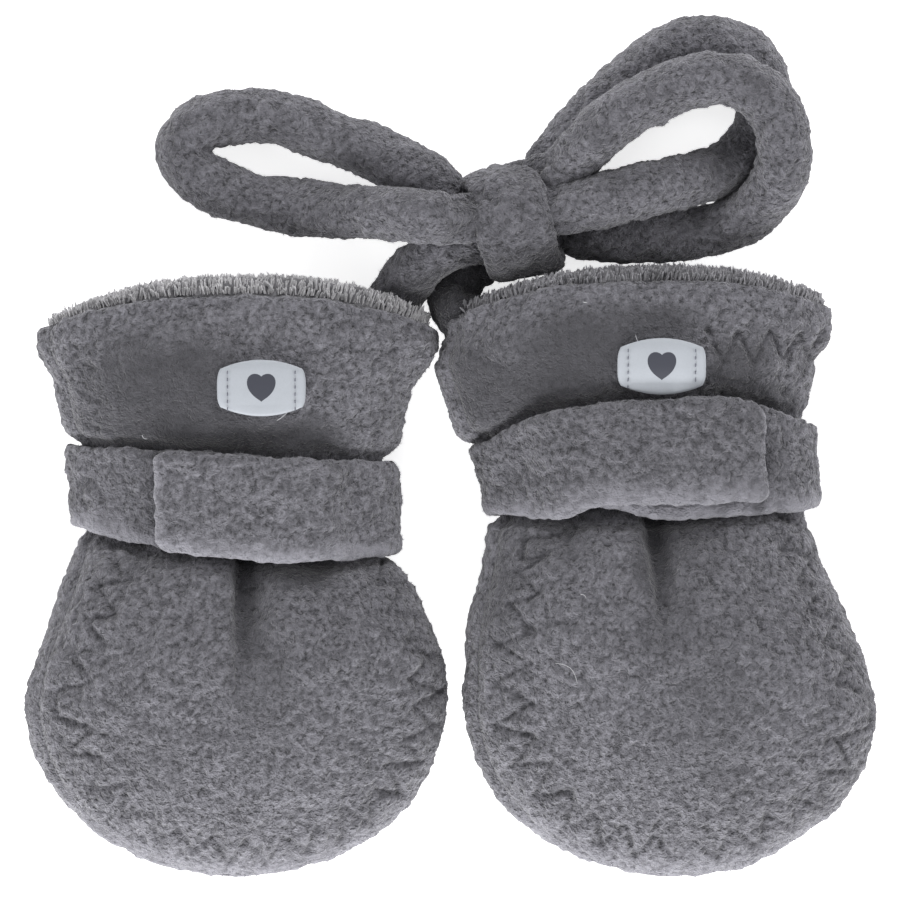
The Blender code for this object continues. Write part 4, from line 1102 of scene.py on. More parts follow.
def build_lining(mitten, form, material, height):
    """The pile lining: a ring inside the cuff that stands out a little past the fleece."""
    outside, inside = FLEECE + GAP, FLEECE + GAP + LINING
    rim = form.along[LINING_ROW]
    deep = form.along[WRIST_HIGH_ROW + 1]
    soft = LINING / 2 - LINING_FLAT
    turn = np.linspace(0, math.pi, LINING_TURN)
    coarse = np.linspace(deep, rim - LINING_FINE_REACH, LINING_COARSE)
    fine = np.linspace(rim - LINING_FINE_REACH, rim - soft, LINING_FINE)[1:-1]
    outline = [(along, outside) for along in np.concatenate((coarse, fine))]
    outline += [(rim - soft + soft * math.sin(t), (outside + inside) / 2 - soft * math.cos(t))
                for t in turn]
    outline += [(along, inside) for along in np.concatenate((fine[::-1], coarse[::-1]))]
    outline = np.array(outline)
    samples = np.linspace(0, 360, LINING_SAMPLES)
    travel = measured(form.point(rim, samples, outside, False))
    around = spread(samples, travel, np.full(len(samples), LINING_SPACING), 1)[:-1]
    base = form.point(outline[None, :, 0], around[:, None], outline[None, :, 1])
    loop = np.concatenate((base, base[:1]))
    loop = np.concatenate((loop, loop[:, :1]), axis=1)
    centre = base.mean(axis=1, keepdims=True)
    beyond = np.concatenate((2 * base - centre, (2 * base - centre)[:1]))
    beyond = np.concatenate((beyond, beyond[:, :1]), axis=1)
    normals = outward_normals(loop, beyond)[:-1, :-1]
    shows = soft_step(rim - LINING_SHOWS[0], rim - LINING_SHOWS[1], outline[:, 0])
    shows = shows[None, :] * np.ones((len(base), 1))
    # Painted shade where the lining shows, in the cuff's mouth and between the tufts
    outer, shade = napped(base, normals, LINING_SHADE * shows, 0 * shows,
                          LINING_NAP * height * shows, mitten.seed + 400)
    cloth = Cloth()
    numbers = cloth.grid(outer, shade)
    numbers = np.concatenate((numbers, numbers[:1]))
    cloth.fill(np.concatenate((numbers, numbers[:, :1]), axis=1))
    piece = cloth.finish(f"{mitten.side}_lining_cloth", material)
    length = rim - deep
    middle = form.point(rim - length / 2, samples, (outside + inside) / 2, False)
    width = measured(middle)[-1]
    declare(piece, f"{mitten.side}_cuff_lining", "lining_pile", (width, length), width * length)


# ---------------------------------------------------------------- fibres

def spikes(name, roots, courses, lengths, widths, bends, material, slot):
    """Many fine fibres as one piece: three-sided, bent at the middle, and closed."""
    count = len(roots)
    aside = np.cross(courses, FIBRE_ASKEW)
    aside /= np.maximum(np.linalg.norm(aside, axis=1, keepdims=True), 1e-6)
    other = np.cross(courses, aside)
    corners = [aside * math.cos(t) + other * math.sin(t) for t in FIBRE_SIDES]
    rings = []
    if bends is None:
        levels = ((0.0, 1.0),)
        faces = ((0, 2, 1), (0, 1, 3), (1, 2, 3), (2, 0, 3))
    else:
        levels = ((0.0, 1.0), (BENT_RING, BENT_RING_THICK))
        faces = ((0, 2, 1), (0, 1, 4), (0, 4, 3), (1, 2, 5), (1, 5, 4), (2, 0, 3), (2, 3, 5),
                 (3, 4, 6), (4, 5, 6), (5, 3, 6))
    for height, thick in levels:
        centre = roots + courses * (lengths * height)[:, None]
        if bends is not None and height:
            centre = centre + bends * BENT_RING_SHIFT
        rings += [centre + corner * (widths * thick / 2)[:, None] for corner in corners]
    tip = roots + courses * lengths[:, None]
    rings.append(tip + bends if bends is not None else tip)
    points = np.stack(rings, axis=1)
    points[..., 2] = np.maximum(points[..., 2], LOWEST / 2)
    number = points.shape[1]
    triangles = np.array(faces)[None] + (np.arange(count) * number)[:, None, None]
    piece = make_mesh(name, points.reshape(-1, 3), np.zeros((0, 4), int),
                      triangles.reshape(-1, 3), np.zeros((count * number, len(MARKS))), material,
                      False)
    place(piece, slot)
    return piece


def fuzz(name, owner, count, material, slot, rng):
    """Loose fibre ends of the nap, set by area all over the owner's shown cloth."""
    shown = [s for s in Surface.shown if s.owner == owner]
    roots, courses, lengths = [], [], []
    areas = []
    for surface in shown:
        p = surface.points
        a, b = p[1:, :-1] - p[:-1, :-1], p[:-1, 1:] - p[:-1, :-1]
        areas.append(np.linalg.norm(np.cross(a, b), axis=-1) * surface.density)
    total = sum(area.sum() for area in areas)
    for surface, area in zip(shown, areas):
        wanted = int(count * area.sum() / total)
        weight = area.ravel() * (1 - FIBRE_SPARSE * surface.pressed[:-1, :-1].ravel())
        chosen = rng.choice(weight.size, wanted, p=weight / weight.sum())
        row, column = np.unravel_index(chosen, area.shape)
        u, v = rng.random((2, wanted, 1))
        p, n = surface.points, surface.normals
        corner = (p[row, column], p[row + 1, column], p[row, column + 1])
        spot = corner[0] + u * (corner[1] - corner[0]) + v * (corner[2] - corner[0])
        course = n[row, column] + rng.normal(size=(wanted, 3)) * FIBRE_LEAN
        course /= np.linalg.norm(course, axis=1, keepdims=True)
        roots.append(spot - n[row, column] * FIBRE_ROOT)
        courses.append(course)
        shorter = 1 - FIBRE_SHORT * surface.pressed[row, column]
        lengths.append(rng.uniform(*FIBRE_LENGTHS, wanted) * shorter)
    roots, courses, lengths = (np.concatenate(k) for k in (roots, courses, lengths))
    keep = roots[:, 2] > FIBRE_LOWEST
    roots, courses, lengths = roots[keep], courses[keep], lengths[keep]
    widths = rng.uniform(*FIBRE_WIDTHS, len(roots))
    return spikes(name, roots, courses, lengths, widths, None, material, slot)


def rim_pile(mitten, form, material, rng):
    """Cut ends of the pile along the lining's rim, in small tufts."""
    rim = form.along[LINING_ROW]
    samples = np.linspace(0, 360, ROUND_SAMPLES)
    travel = measured(form.point(rim, samples, FLEECE, False))
    tufts = np.interp(np.arange(0, travel[-1], TUFT_SPACING), travel, samples)
    roots, courses, lengths, bends = [], [], [], []
    for degrees in tufts:
        for back, inset, outwards in TUFT_ROWS:
            degrees_here = degrees + rng.normal() * TUFT_SCATTER
            here = form.point(rim - back, degrees_here, inset)
            ahead = form.point(rim - back + 1.0, degrees_here, inset) - here
            out = form.point(rim - back, degrees_here, inset - 1.0) - here
            ahead = ahead / np.linalg.norm(ahead)
            lean = ahead + out * outwards + rng.normal(size=3) * TUFT_LEAN
            size = rng.uniform(*TUFT_LENGTHS)
            for _ in range(TUFT_FIBRES):
                course = lean + rng.normal(size=3) * STRAND_LEAN
                course = course / np.linalg.norm(course)
                roots.append(here + rng.normal(size=3) * STRAND_SCATTER)
                courses.append(course)
                lengths.append(size * rng.uniform(*TUFT_UNEVEN))
                bends.append(rng.normal(size=3) * STRAND_BEND)
    roots, courses, bends = (np.array(k) for k in (roots, courses, bends))
    widths = rng.uniform(*TUFT_WIDTHS, len(roots))
    spikes(f"{mitten.side}_rim_pile", roots, courses, np.array(lengths), widths, bends,
           material, "lining_pile")


# ---------------------------------------------------------------- cord

def wrap_frame():
    """Axis and cross directions of the knot."""
    slant = math.radians(KNOT_SLANT)
    axis = np.array((math.cos(slant), math.sin(slant), 0.0))
    across = np.array((-math.sin(slant), math.cos(slant), 0.0))
    return axis, across


def wrap_points():
    """The cord's turn round the waist of the bow, from behind, over the front and behind again."""
    axis, across = wrap_frame()
    wide = KNOT_HALF_WIDTH - WRAP_THICKNESS / 2
    high = KNOT_HALF_HEIGHT - WRAP_THICKNESS / 2
    points = []
    for degrees in np.linspace(*WRAP_TURN, WRAP_STEPS):
        travelled = (degrees - WRAP_TURN[0]) / (WRAP_TURN[1] - WRAP_TURN[0])
        shift = WRAP_SHIFT * math.cos(math.pi * travelled) ** 3
        place = np.array(KNOT_CENTRE) + axis * shift
        place = place + across * wide * math.cos(math.radians(degrees))
        place = place + np.array((0, 0, high * math.sin(math.radians(degrees))))
        points.append(tuple(place))
    return points


def cord_route():
    """Centre line of the whole cord with, at each point, its squeeze and how much it wraps."""
    first = (*LEFT_END, *LEFT_TAIL, *LOW_PASS, *FRONT_LOOP, *BACK_PASS, *LEFT_LOOP, *FRONT_PASS,
             *REAR_LOOP)
    rows = [(*point, 0.0) for point in first]
    rows += [(*place, WRAP_SQUEEZE, 1.0) for place in wrap_points()]
    rows += [(*point, 0.0) for point in (*RIGHT_TAIL, *RIGHT_END)]
    rows = np.array(rows)
    ends = np.concatenate((2 * rows[:1] - rows[1:2], rows, 2 * rows[-1:] - rows[-2:-1]))
    fine = []
    for a, b, c, d in zip(ends, ends[1:], ends[2:], ends[3:]):
        for t in np.linspace(0, 1, ROUTE_STEPS, endpoint=False):
            fine.append(0.5 * (2 * b + (c - a) * t + (2 * a - 5 * b + 4 * c - d) * t ** 2
                               + (3 * b - a - 3 * c + d) * t ** 3))
    fine = np.array(fine + [rows[-1]])
    travel = measured(fine[:, :3])
    even = np.linspace(0, travel[-1], int(travel[-1] / CORD_RING_STEP))
    return np.stack([np.interp(even, travel, column) for column in fine.T], axis=1)


def smoothed(values, width):
    """Values along the cord, evened out over a few rings."""
    reach = 3 * width
    weight = np.exp(-(np.arange(-reach, reach + 1) / width) ** 2)
    weight /= weight.sum()
    padded = np.concatenate((np.repeat(values[:1], reach, 0), values,
                             np.repeat(values[-1:], reach, 0)))
    if values.ndim == 1:
        return np.convolve(padded, weight, "valid")
    return np.stack([np.convolve(column, weight, "valid") for column in padded.T], axis=1)


def build_cord(material, height):
    """The one long cord: from the left cuff through the bow, round it and into the right cuff."""
    route = cord_route()
    centre, squeeze, wraps = route[:, :3], route[:, 3], np.clip(route[:, 4], 0, 1)
    ahead = np.gradient(smoothed(centre, COURSE_RINGS), axis=0)
    ahead /= np.linalg.norm(ahead, axis=1, keepdims=True)
    axis, _ = wrap_frame()
    away = centre - np.array(KNOT_CENTRE)
    inwards = -(away - (away @ axis)[:, None] * axis)
    inwards /= np.maximum(np.linalg.norm(inwards, axis=1, keepdims=True), 1e-6)
    up = np.array((0.0, 0.0, 1.0)) * (1 - wraps[:, None]) + inwards * wraps[:, None]
    up = smoothed(up, UP_RINGS)
    side = np.cross(ahead, up)
    side /= np.linalg.norm(side, axis=1, keepdims=True)
    up = np.cross(side, ahead)

    radius = CORD_DIAMETER / 2
    wide = radius * squeeze ** CORD_WIDENS
    high = radius * squeeze
    travelled = measured(centre)
    inside = wraps > 0.5
    share = np.zeros(len(centre))
    share[inside] = np.linspace(0, 1, int(inside.sum()))
    facing = np.sin(math.pi * share) ** WRAP_WIDENS
    band = (WRAP_NARROW + (WRAP_WIDTH - WRAP_NARROW) * facing) / 2
    wide = smoothed(np.where(inside, band, wide), SIZE_RINGS)
    high = smoothed(np.where(inside, WRAP_THICKNESS / 2, high), SIZE_RINGS)

    turn = np.linspace(0, 2 * math.pi, CORD_SIDES, endpoint=False)
    cosine, sine = np.cos(turn), np.sin(turn)
    square = 2 / (2 + WRAP_SQUARE * wraps[:, None])
    flat_wide = np.sign(cosine) * np.abs(cosine) ** square
    flat_high = np.sign(sine) * np.abs(sine) ** square
    base = (centre[:, None] + side[:, None] * (wide[:, None] * flat_wide)[..., None]
            + up[:, None] * (high[:, None] * flat_high)[..., None])
    ring = np.concatenate((base, base[:, :1]), axis=1)
    normals = outward_normals(ring, 2 * ring - centre[:, None])[:, :-1]
    gathered = soft_step(*CORD_GATHERED, 1 - squeeze)
    pleats = 0.5 * np.cos(turn * CORD_PLEATS + CORD_PLEAT_TURN)[None, :]
    pleats = pleats * (gathered * (1 - wraps))[:, None]
    folds = (CORD_LONG_HEIGHT * grain(base, CORD_LONG_WAVE, CORD_SEED + 14)
             + CORD_SHORT_HEIGHT * grain(base, CORD_SHORT_WAVE, CORD_SEED + 16)
             - pleats * CORD_PLEAT_DEPTH)
    creases = np.zeros(base.shape[:-1])
    for place_across, deep in WRAP_CREASES:
        line = np.exp(-((flat_wide - place_across) / WRAP_CREASE_WIDTH) ** 2) * (sine < 0)
        creases = creases + deep * line * wraps[:, None]
    shaped = base + normals * (folds - creases)[..., None]
    shaped[..., 2] = np.maximum(shaped[..., 2], LOWEST)
    # Painted shade in the pleats, the wrap's folds, beside the knot and under it
    hollow_shade = np.clip(PLEAT_SHADE * gathered[:, None] + creases * WRAP_SHADE, 0, 1)
    hollow_shade = hollow_shade + NOOK_SHADE * near_the_knot(base, wraps) + LEE_SHADE * knot_lee(base, wraps)
    hollow_shade = np.clip(hollow_shade, 0, 1)
    pressed = CORD_PRESSED * soft_step(*CORD_PATCH, grain(base, CORD_PATCH_SIZE, CORD_SEED + 15))
    outer, shade = napped(shaped, normals, hollow_shade, pressed, height, CORD_SEED)
    cloth = Cloth()
    numbers = cloth.grid(outer, shade, pressed)
    wrapped = np.concatenate((numbers, numbers[:, :1]), axis=1)
    cloth.fill(wrapped)
    ends = cloth.grid(np.stack((centre[0], centre[-1]))[None])
    cloth.fan(wrapped[0], ends[0, 0])
    cloth.fan(wrapped[-1], ends[0, 1])
    piece = cloth.finish("neck_cord", material)
    Surface("cord", outer, normals, pressed, 1.0)
    place(piece, "cord_fleece", "cord_knot", "cord_left_loop", "cord_front_loop",
          "cord_rear_loop", "cord_left_tail", "cord_right_tail")
    return piece, centre, float(travelled[-1])


def knot_lee(points, wraps):
    """1 in the painted shade under the knot's low side and the painted shadow between the two
    tails, 0 elsewhere.
    """
    _, across = wrap_frame()
    below = -((points - np.array(KNOT_CENTRE)) @ across)
    under = soft_step(*LEE_BELOW, below) * wraps[:, None]
    x, y = points[..., 0], points[..., 1]
    tails = soft_step(*TAILS_DARK, TAILS_SLOPE * (x - TAILS_X) - (y - TAILS_Y))
    tails = tails * (1 - soft_step(*TAILS_RIGHT, x)) * (y < TAILS_HIGH)
    return under + tails * (1 - wraps)[:, None]


def near_the_knot(points, wraps):
    """1 in the painted shade where a strand goes in under the knot's turn, 0 further off."""
    axis, _ = wrap_frame()
    away = np.abs((points - np.array(KNOT_CENTRE)) @ axis)
    close = 1 - soft_step(*NOOK_REACH, away - KNOT_LENGTH / 2)
    apart = np.linalg.norm(points - np.array(KNOT_CENTRE), axis=-1)
    return close * (1 - wraps)[:, None] * (1 - soft_step(*NOOK_APART, apart))


# ---------------------------------------------------------------- labels and loose threads

def build_label(mitten, form, material):
    """The sewn-on label: a domed patch with a barrel outline, on the cuff."""
    across = np.linspace(-1, 1, LABEL_COLUMNS)
    inwards = np.linspace(-1, 1, LABEL_ROWS)
    free_edge = mitten.label_y - LABEL_HEIGHT / 2 + LABEL_OVERHANG
    u, v = np.meshgrid(across, inwards, indexing="ij")
    half = (LABEL_END_HEIGHT + (LABEL_HEIGHT - LABEL_END_HEIGHT) * (1 - u * u)) / 2
    corner = 1 - LABEL_PULL * np.abs(v) ** LABEL_PULL_POWER
    x = mitten.label_x + u * corner * LABEL_LENGTH / 2
    y = mitten.label_y + v * half
    seat = form.plan_height(x, np.maximum(y, free_edge), False) + LABEL_SEAT
    seat = seat - LABEL_TURNED * soft_step(LABEL_TURNED_FROM, 1.0, np.abs(v))
    edge = np.minimum((1 - np.abs(u)) * LABEL_LENGTH / 2, (1 - np.abs(v)) * half)
    near = np.clip(1 - edge / LABEL_ROUND, 0, 1)
    top = seat + LABEL - LABEL_EDGE + LABEL_EDGE_RISE * np.sqrt(1 - near ** 2)
    top = top + LABEL_DOME * (1 - v * v) * (1 - u * u / 2)
    from_stitches = np.abs(x - mitten.label_x) - LABEL_STITCH_X
    sewn = np.exp(-(from_stitches / LABEL_SEWN_WIDTH) ** 2)
    top = top - LABEL_SEWN_DOWN * sewn
    grid = np.stack((x, y, top), axis=-1)
    under = np.stack((x, y, seat), axis=-1)[::INNER_RATIO, ::INNER_RATIO]
    cloth = Cloth()
    outside = cloth.grid(grid, LABEL_SEWN_SHADE * sewn)
    inside = cloth.grid(under)
    cloth.fill(outside)
    cloth.fill(inside)
    for fine, coarse in ((outside[0], inside[0]), (outside[-1], inside[-1]),
                         (outside[:, 0], inside[:, 0]), (outside[:, -1], inside[:, -1])):
        cloth.strip(fine, coarse)
    piece = cloth.finish(f"{mitten.side}_label_cloth", material)
    add_label_map(piece, mitten)
    declare(piece, f"{mitten.side}_label", "label", (LABEL_LENGTH, LABEL_HEIGHT),
            LABEL_LENGTH * (LABEL_HEIGHT * 2 + LABEL_END_HEIGHT) / 3)


def add_label_map(piece, mitten):
    """The label's own map: its middle at 0.5, 0.5 and its length across one unit."""
    mesh = piece.data
    points = np.empty(len(mesh.vertices) * 3, np.float32)
    mesh.vertices.foreach_get("co", points)
    points = points.reshape(-1, 3) / MM
    corners = np.empty(len(mesh.loops), np.int32)
    mesh.loops.foreach_get("vertex_index", corners)
    flat = np.stack((0.5 + (points[:, 0] - mitten.label_x) / LABEL_LENGTH,
                     0.5 + (points[:, 1] - mitten.label_y) / LABEL_LENGTH), axis=1)
    layer = mesh.uv_layers.new(name="label")
    layer.data.foreach_set("uv", flat[corners].astype(np.float32).ravel())


def thread_tube(cloth, path, radius):
    """A fine closed thread along a path."""
    ahead = np.gradient(path, axis=0)
    ahead /= np.linalg.norm(ahead, axis=1, keepdims=True)
    side = np.cross(ahead, (0.0, 0.0, 1.0))
    side /= np.linalg.norm(side, axis=1, keepdims=True)
    up = np.cross(side, ahead)
    turn = np.linspace(0, 2 * math.pi, THREAD_SIDES, endpoint=False)
    blunt, thinnest = 8, 0.15
    thick = np.maximum(1 - np.linspace(-1, 1, len(path)) ** blunt, thinnest)
    thick = radius * np.sqrt(thick)
    rings = (path[:, None] + side[:, None] * (np.cos(turn)[None] * thick[:, None])[..., None]
             + up[:, None] * (np.sin(turn)[None] * thick[:, None])[..., None])
    numbers = cloth.grid(rings)
    wrapped = np.concatenate((numbers, numbers[:, :1]), axis=1)
    cloth.fill(wrapped)
    ends = cloth.grid(path[[0, -1]][None])
    cloth.fan(wrapped[0], ends[0, 0])
    cloth.fan(wrapped[-1], ends[0, 1])


def build_label_stitches(mitten, form, material):
    """Two columns of short stitches that hold the label."""
    cloth = Cloth()
    half = LABEL_END_HEIGHT / 2 + LABEL_STITCH_PAST
    share = np.linspace(-1, 1, LABEL_STITCH_POINTS)
    for side in (-1, 1):
        for y in np.arange(-half, half + 0.1, LABEL_STITCH_PITCH):
            x = np.full(len(share), mitten.label_x + side * LABEL_STITCH_X)
            places = mitten.label_y + y + share * LABEL_STITCH_REACH
            seat = form.plan_height(x, places, False) + LABEL_SEAT + LABEL + LABEL_STITCH_CLEAR
            path = np.stack((x, places, seat + LABEL_STITCH_RISE * (1 - share ** 2)), axis=1)
            thread_tube(cloth, path, LABEL_THREAD)
    place(cloth.finish(f"{mitten.side}_label_stitches", material), "label")


def build_threads(forms, material):
    """A few stray threads and bits of lint lying on the nap."""
    cloth = Cloth()
    for thread in STRAY_THREADS:
        form = forms[0] if thread.x < 0 else forms[1]
        share = np.linspace(0, 1, THREAD_STEPS)
        x = thread.x + (thread.to_x - thread.x) * share
        y = thread.y + (thread.to_y - thread.y) * share
        length = math.hypot(thread.to_x - thread.x, thread.to_y - thread.y)
        sway = thread.bow * np.sin(math.pi * share)
        x = x - (thread.to_y - thread.y) / length * sway
        y = y + (thread.to_x - thread.x) / length * sway
        height = form.plan_height(x, y) + THREAD_LIFT + thread.lift * share
        thread_tube(cloth, np.stack((x, y, height), axis=1), thread.radius)
    place(cloth.finish("stray_threads", material), "label")


# ---------------------------------------------------------------- finishes

class Value:
    """A number that varies over a surface, with the sums that work on it."""

    def __init__(self, finish, socket):
        self.finish, self.socket = finish, socket

    def sum(self, operation, first, second=None):
        inputs = {0: first} if second is None else {0: first, 1: second}
        node = self.finish.node("ShaderNodeMath", {"operation": operation}, inputs)
        return Value(self.finish, node.outputs[0])

    def __add__(self, other):
        return self.sum("ADD", self, other)

    def __radd__(self, other):
        return self.sum("ADD", other, self)

    def __sub__(self, other):
        return self.sum("SUBTRACT", self, other)

    def __rsub__(self, other):
        return self.sum("SUBTRACT", other, self)

    def __mul__(self, other):
        return self.sum("MULTIPLY", self, other)

    def __rmul__(self, other):
        return self.sum("MULTIPLY", other, self)

    def held(self):
        """Kept between 0 and 1."""
        node = self.finish.node("ShaderNodeClamp", {}, {"Value": self})
        return Value(self.finish, node.outputs[0])

    def below(self, limit):
        """1 where it is less than a limit, 0 elsewhere."""
        return self.sum("LESS_THAN", self, limit)


class Finish:
    """A material and the nodes that make it."""

    def __init__(self, name, roughness, sheen=0.0, sheen_roughness=0.5, specular=0.25):
        self.material = bpy.data.materials.new(name)
        self.material.use_nodes = True
        self.tree = self.material.node_tree
        self.shader = self.tree.nodes["Principled BSDF"]
        self.shader.inputs["Roughness"].default_value = roughness
        self.shader.inputs["Sheen Weight"].default_value = sheen
        self.shader.inputs["Sheen Roughness"].default_value = sheen_roughness
        self.shader.inputs["Specular IOR Level"].default_value = specular
        self.place = self.node("ShaderNodeTexCoord", {}, {}).outputs["Object"]

    def node(self, kind, settings, inputs):
        """Add a node: its settings first, then the values or links of its sockets."""
        node = self.tree.nodes.new(kind)
        for name, value in settings.items():
            setattr(node, name, value)
        for key, value in inputs.items():
            if isinstance(value, Value):
                value = value.socket
            if isinstance(value, bpy.types.NodeSocket):
                self.tree.links.new(value, node.inputs[key])
            else:
                node.inputs[key].default_value = value
        return node

    def mark(self, name):
        """One of the marks that the pieces carry."""
        node = self.node("ShaderNodeAttribute", {"attribute_name": name}, {})
        return Value(self, node.outputs["Fac"])

    def noise(self, grain_size, detail=2.0, rough=0.55, curl=0.0):
        """Noise with grains of a size in millimetres, bent into curls."""
        node = self.node("ShaderNodeTexNoise", {}, {
            "Vector": self.place, "Scale": 1.0 / (grain_size * MM), "Detail": detail,
            "Roughness": rough, "Distortion": curl})
        return Value(self, node.outputs[0])

    def mix(self, share, first, second):
        """A colour between two colours."""
        inputs = {"Factor": share, 6: first, 7: second}
        node = self.node("ShaderNodeMix", {"data_type": "RGBA"}, inputs)
        return node.outputs[2]

    def paint(self, colour):
        """Lead a colour to the shader."""
        self.tree.links.new(colour, self.shader.inputs["Base Color"])

    def raise_with(self, height, strength, distance):
        """Lead a height to the shader's normal; the distance is in millimetres."""
        bump = self.node("ShaderNodeBump", {}, {
            "Strength": strength, "Distance": distance * MM, "Height": height})
        self.tree.links.new(bump.outputs[0], self.shader.inputs["Normal"])


def shaded(colour, share):
    """A colour made lighter or darker by plain arithmetic."""
    return (*(min(1.0, part * share) for part in colour[:3]), 1.0)


# Grain sizes of the fleece's colour: curls of nap, pits between them, fibres, cloudy patches
CURL, PIT, SPECK, CLOUD = 1.15, 0.85, 0.36, 9.0
# Shares of a cloth's colour: its dark and light grain, a folded edge's painted highlight, a
# hollow's painted shade, pressed flat nap with painted shade
DARK_GRAIN, LIGHT_GRAIN, FOLD_HIGHLIGHT_TONE, HOLLOW_SHADE_TONE, PRESSED_AND_SHADED_TONE = 0.40, 1.60, 2.10, 0.22, 0.34


def fleece_finish(name, colour):
    """Bobbly fleece: nub tops painted light and crevices painted dark as light and shade on the
    nap, a painted highlight on folded edges, painted shade in hollows, flat dull patches where it
    is pressed and shaded.
    """
    finish = Finish(name, 0.96, sheen=0.30, sheen_roughness=0.5, specular=0.10)
    # The marks: painted shade in hollows, pressed nap with painted shade, a painted highlight on
    # edges
    hollow_shade, pressed, edge = (finish.mark(mark) for mark in MARKS)
    curls = (finish.noise(CURL, 2.0, 0.6, 0.4) - 0.5) * 2.6
    # Pits: painted shade between the nubs
    pits = ((0.46 - finish.noise(PIT, 1.0, 0.5, 0.3)) * 7.0).held()
    specks = finish.noise(SPECK, 2.0) - 0.5
    cloudy = finish.noise(CLOUD, 3.0) - 0.5
    nap = (curls - pits * 0.7) * (1.0 - pressed * 0.4) * (1.0 - edge * 0.6)
    lightness = 0.56 + nap * 0.52 + specks * 0.95 + cloudy * 0.40 - pressed * 0.25
    toned = finish.mix(lightness.held(), shaded(colour, DARK_GRAIN), shaded(colour, LIGHT_GRAIN))
    # Painted highlight on folded edges, painted shade in hollows, then pressed nap with painted
    # shade
    fold_highlight = finish.mix((edge * 0.80).held(), toned, shaded(colour, FOLD_HIGHLIGHT_TONE))
    sunk = finish.mix((hollow_shade * 0.85).held(), fold_highlight, shaded(colour, HOLLOW_SHADE_TONE))
    finish.paint(finish.mix((pressed * 0.76).held(), sunk, shaded(colour, PRESSED_AND_SHADED_TONE)))
    finish.raise_with(nap * 0.6 + specks * 0.6, 1.0, 0.62)
    return finish.material


def pile_finish(name, colour):
    """Light cut pile of the lining."""
    finish = Finish(name, 0.95, sheen=0.25, specular=0.12)
    hollow_shade = finish.mark("hollow_shade")
    strands = finish.noise(0.5, 2.0, 0.6)
    patches = finish.noise(7.0, 2.0)
    lightness = strands * 0.9 + (patches - 0.5) * 0.9
    toned = finish.mix(lightness.held(), shaded(colour, DARK_GRAIN), shaded(colour, LIGHT_GRAIN))
    # Painted shade where the mark of hollows is set
    finish.paint(finish.mix((hollow_shade * 0.8).held(), toned, shaded(colour, 0.20)))
    finish.raise_with(strands, 0.6, 0.25)
    return finish.material


def nap_finish(name, colour):
    """The loose ends of fibre, a little lighter than the cloth they stand on."""
    finish = Finish(name, 0.95, sheen=0.2, specular=0.1)
    tone = finish.noise(0.8, 2.0)
    cloudy = finish.noise(16.0, 2.0)
    lightness = tone + (cloudy - 0.5) * 0.5
    finish.paint(finish.mix(lightness.held(), shaded(colour, 0.70), shaded(colour, 1.45)))
    return finish.material


def label_finish(name, cloth, print_colour):
    """Smooth woven label with a plain printed heart in its middle."""
    finish = Finish(name, 0.62, sheen=0.05, specular=0.3)
    map_node = finish.node("ShaderNodeUVMap", {"uv_map": "label"}, {})
    parts = finish.node("ShaderNodeSeparateXYZ", {}, {0: map_node.outputs[0]})
    unit = LABEL_LENGTH / HEART_SIZE
    x = (Value(finish, parts.outputs[0]) - 0.5) * unit
    y = (Value(finish, parts.outputs[1]) - 0.5) * unit + HEART_DROP
    lobe = x * x + y * y - 1.0
    inside = (lobe * lobe * lobe - x * x * y * y * y).below(0.0)
    weave = finish.noise(0.35, 2.0)
    blotch = finish.noise(3.0, 2.0)
    tone = finish.mix((weave * 0.6 + blotch * 0.5).held(), shaded(cloth, 0.90),
                      shaded(cloth, 1.08))
    finish.paint(finish.mix(inside, tone, shaded(print_colour, 1.0)))
    finish.raise_with(weave, 0.25, 0.08)
    return finish.material


def plain_finish(name, colour, roughness):
    """One even colour."""
    finish = Finish(name, roughness, specular=0.2)
    finish.shader.inputs["Base Color"].default_value = shaded(colour, 1.0)
    return finish.material


def table_finish(colour, glow):
    """The pale table, which glows a little like a light table."""
    finish = Finish("table", 0.9, specular=0.2)
    finish.shader.inputs["Base Color"].default_value = shaded(colour, 1.0)
    finish.shader.inputs["Emission Color"].default_value = (1, 1, 1, 1)
    finish.shader.inputs["Emission Strength"].default_value = glow
    return finish.material


# ---------------------------------------------------------------- settings and operators

def colour_setting(name, description, default):
    """A colour that a user may change."""
    return bpy.props.FloatVectorProperty(name=name, description=description, subtype="COLOR",
                                         size=3, min=0.0, max=1.0, default=default)


class FleeceSettings(bpy.types.PropertyGroup):
    """The outer cloth."""
    colour: colour_setting("Fleece", "Colour of the mittens' cloth", (0.170, 0.168, 0.188))
    strap_colour: colour_setting("Straps", "Colour of straps and tabs", (0.172, 0.170, 0.190))
    cord_colour: colour_setting("Cord", "Colour of the cord", (0.154, 0.152, 0.171))
    nap_height: bpy.props.FloatProperty(
        name="Nap height", description="How far the nubs of the nap stand up",
        default=0.46 * MM, min=0.0, max=2 * MM, unit="LENGTH", subtype="DISTANCE", precision=5)
    fibres: bpy.props.IntProperty(
        name="Loose fibres", description="Fine fibre ends on each mitten", default=27000,
        min=0, max=45000)
    cord_fibres: bpy.props.IntProperty(
        name="Cord fibres", description="Fine fibre ends on the cord", default=17000, min=0,
        max=40000)


class TrimSettings(bpy.types.PropertyGroup):
    """Lining, labels and threads."""
    pile_colour: colour_setting("Pile", "Colour of the cuff lining", (0.27, 0.267, 0.284))
    label_colour: colour_setting("Label", "Colour of the sewn-on labels", (0.43, 0.455, 0.495))
    print_colour: colour_setting("Print", "Colour of the heart on the labels",
                                 (0.055, 0.058, 0.075))
    stitch_colour: colour_setting("Stitches", "Colour of the label's stitches",
                                  (0.17, 0.178, 0.21))
    lint_colour: colour_setting("Lint", "Colour of stray threads", (0.42, 0.42, 0.44))


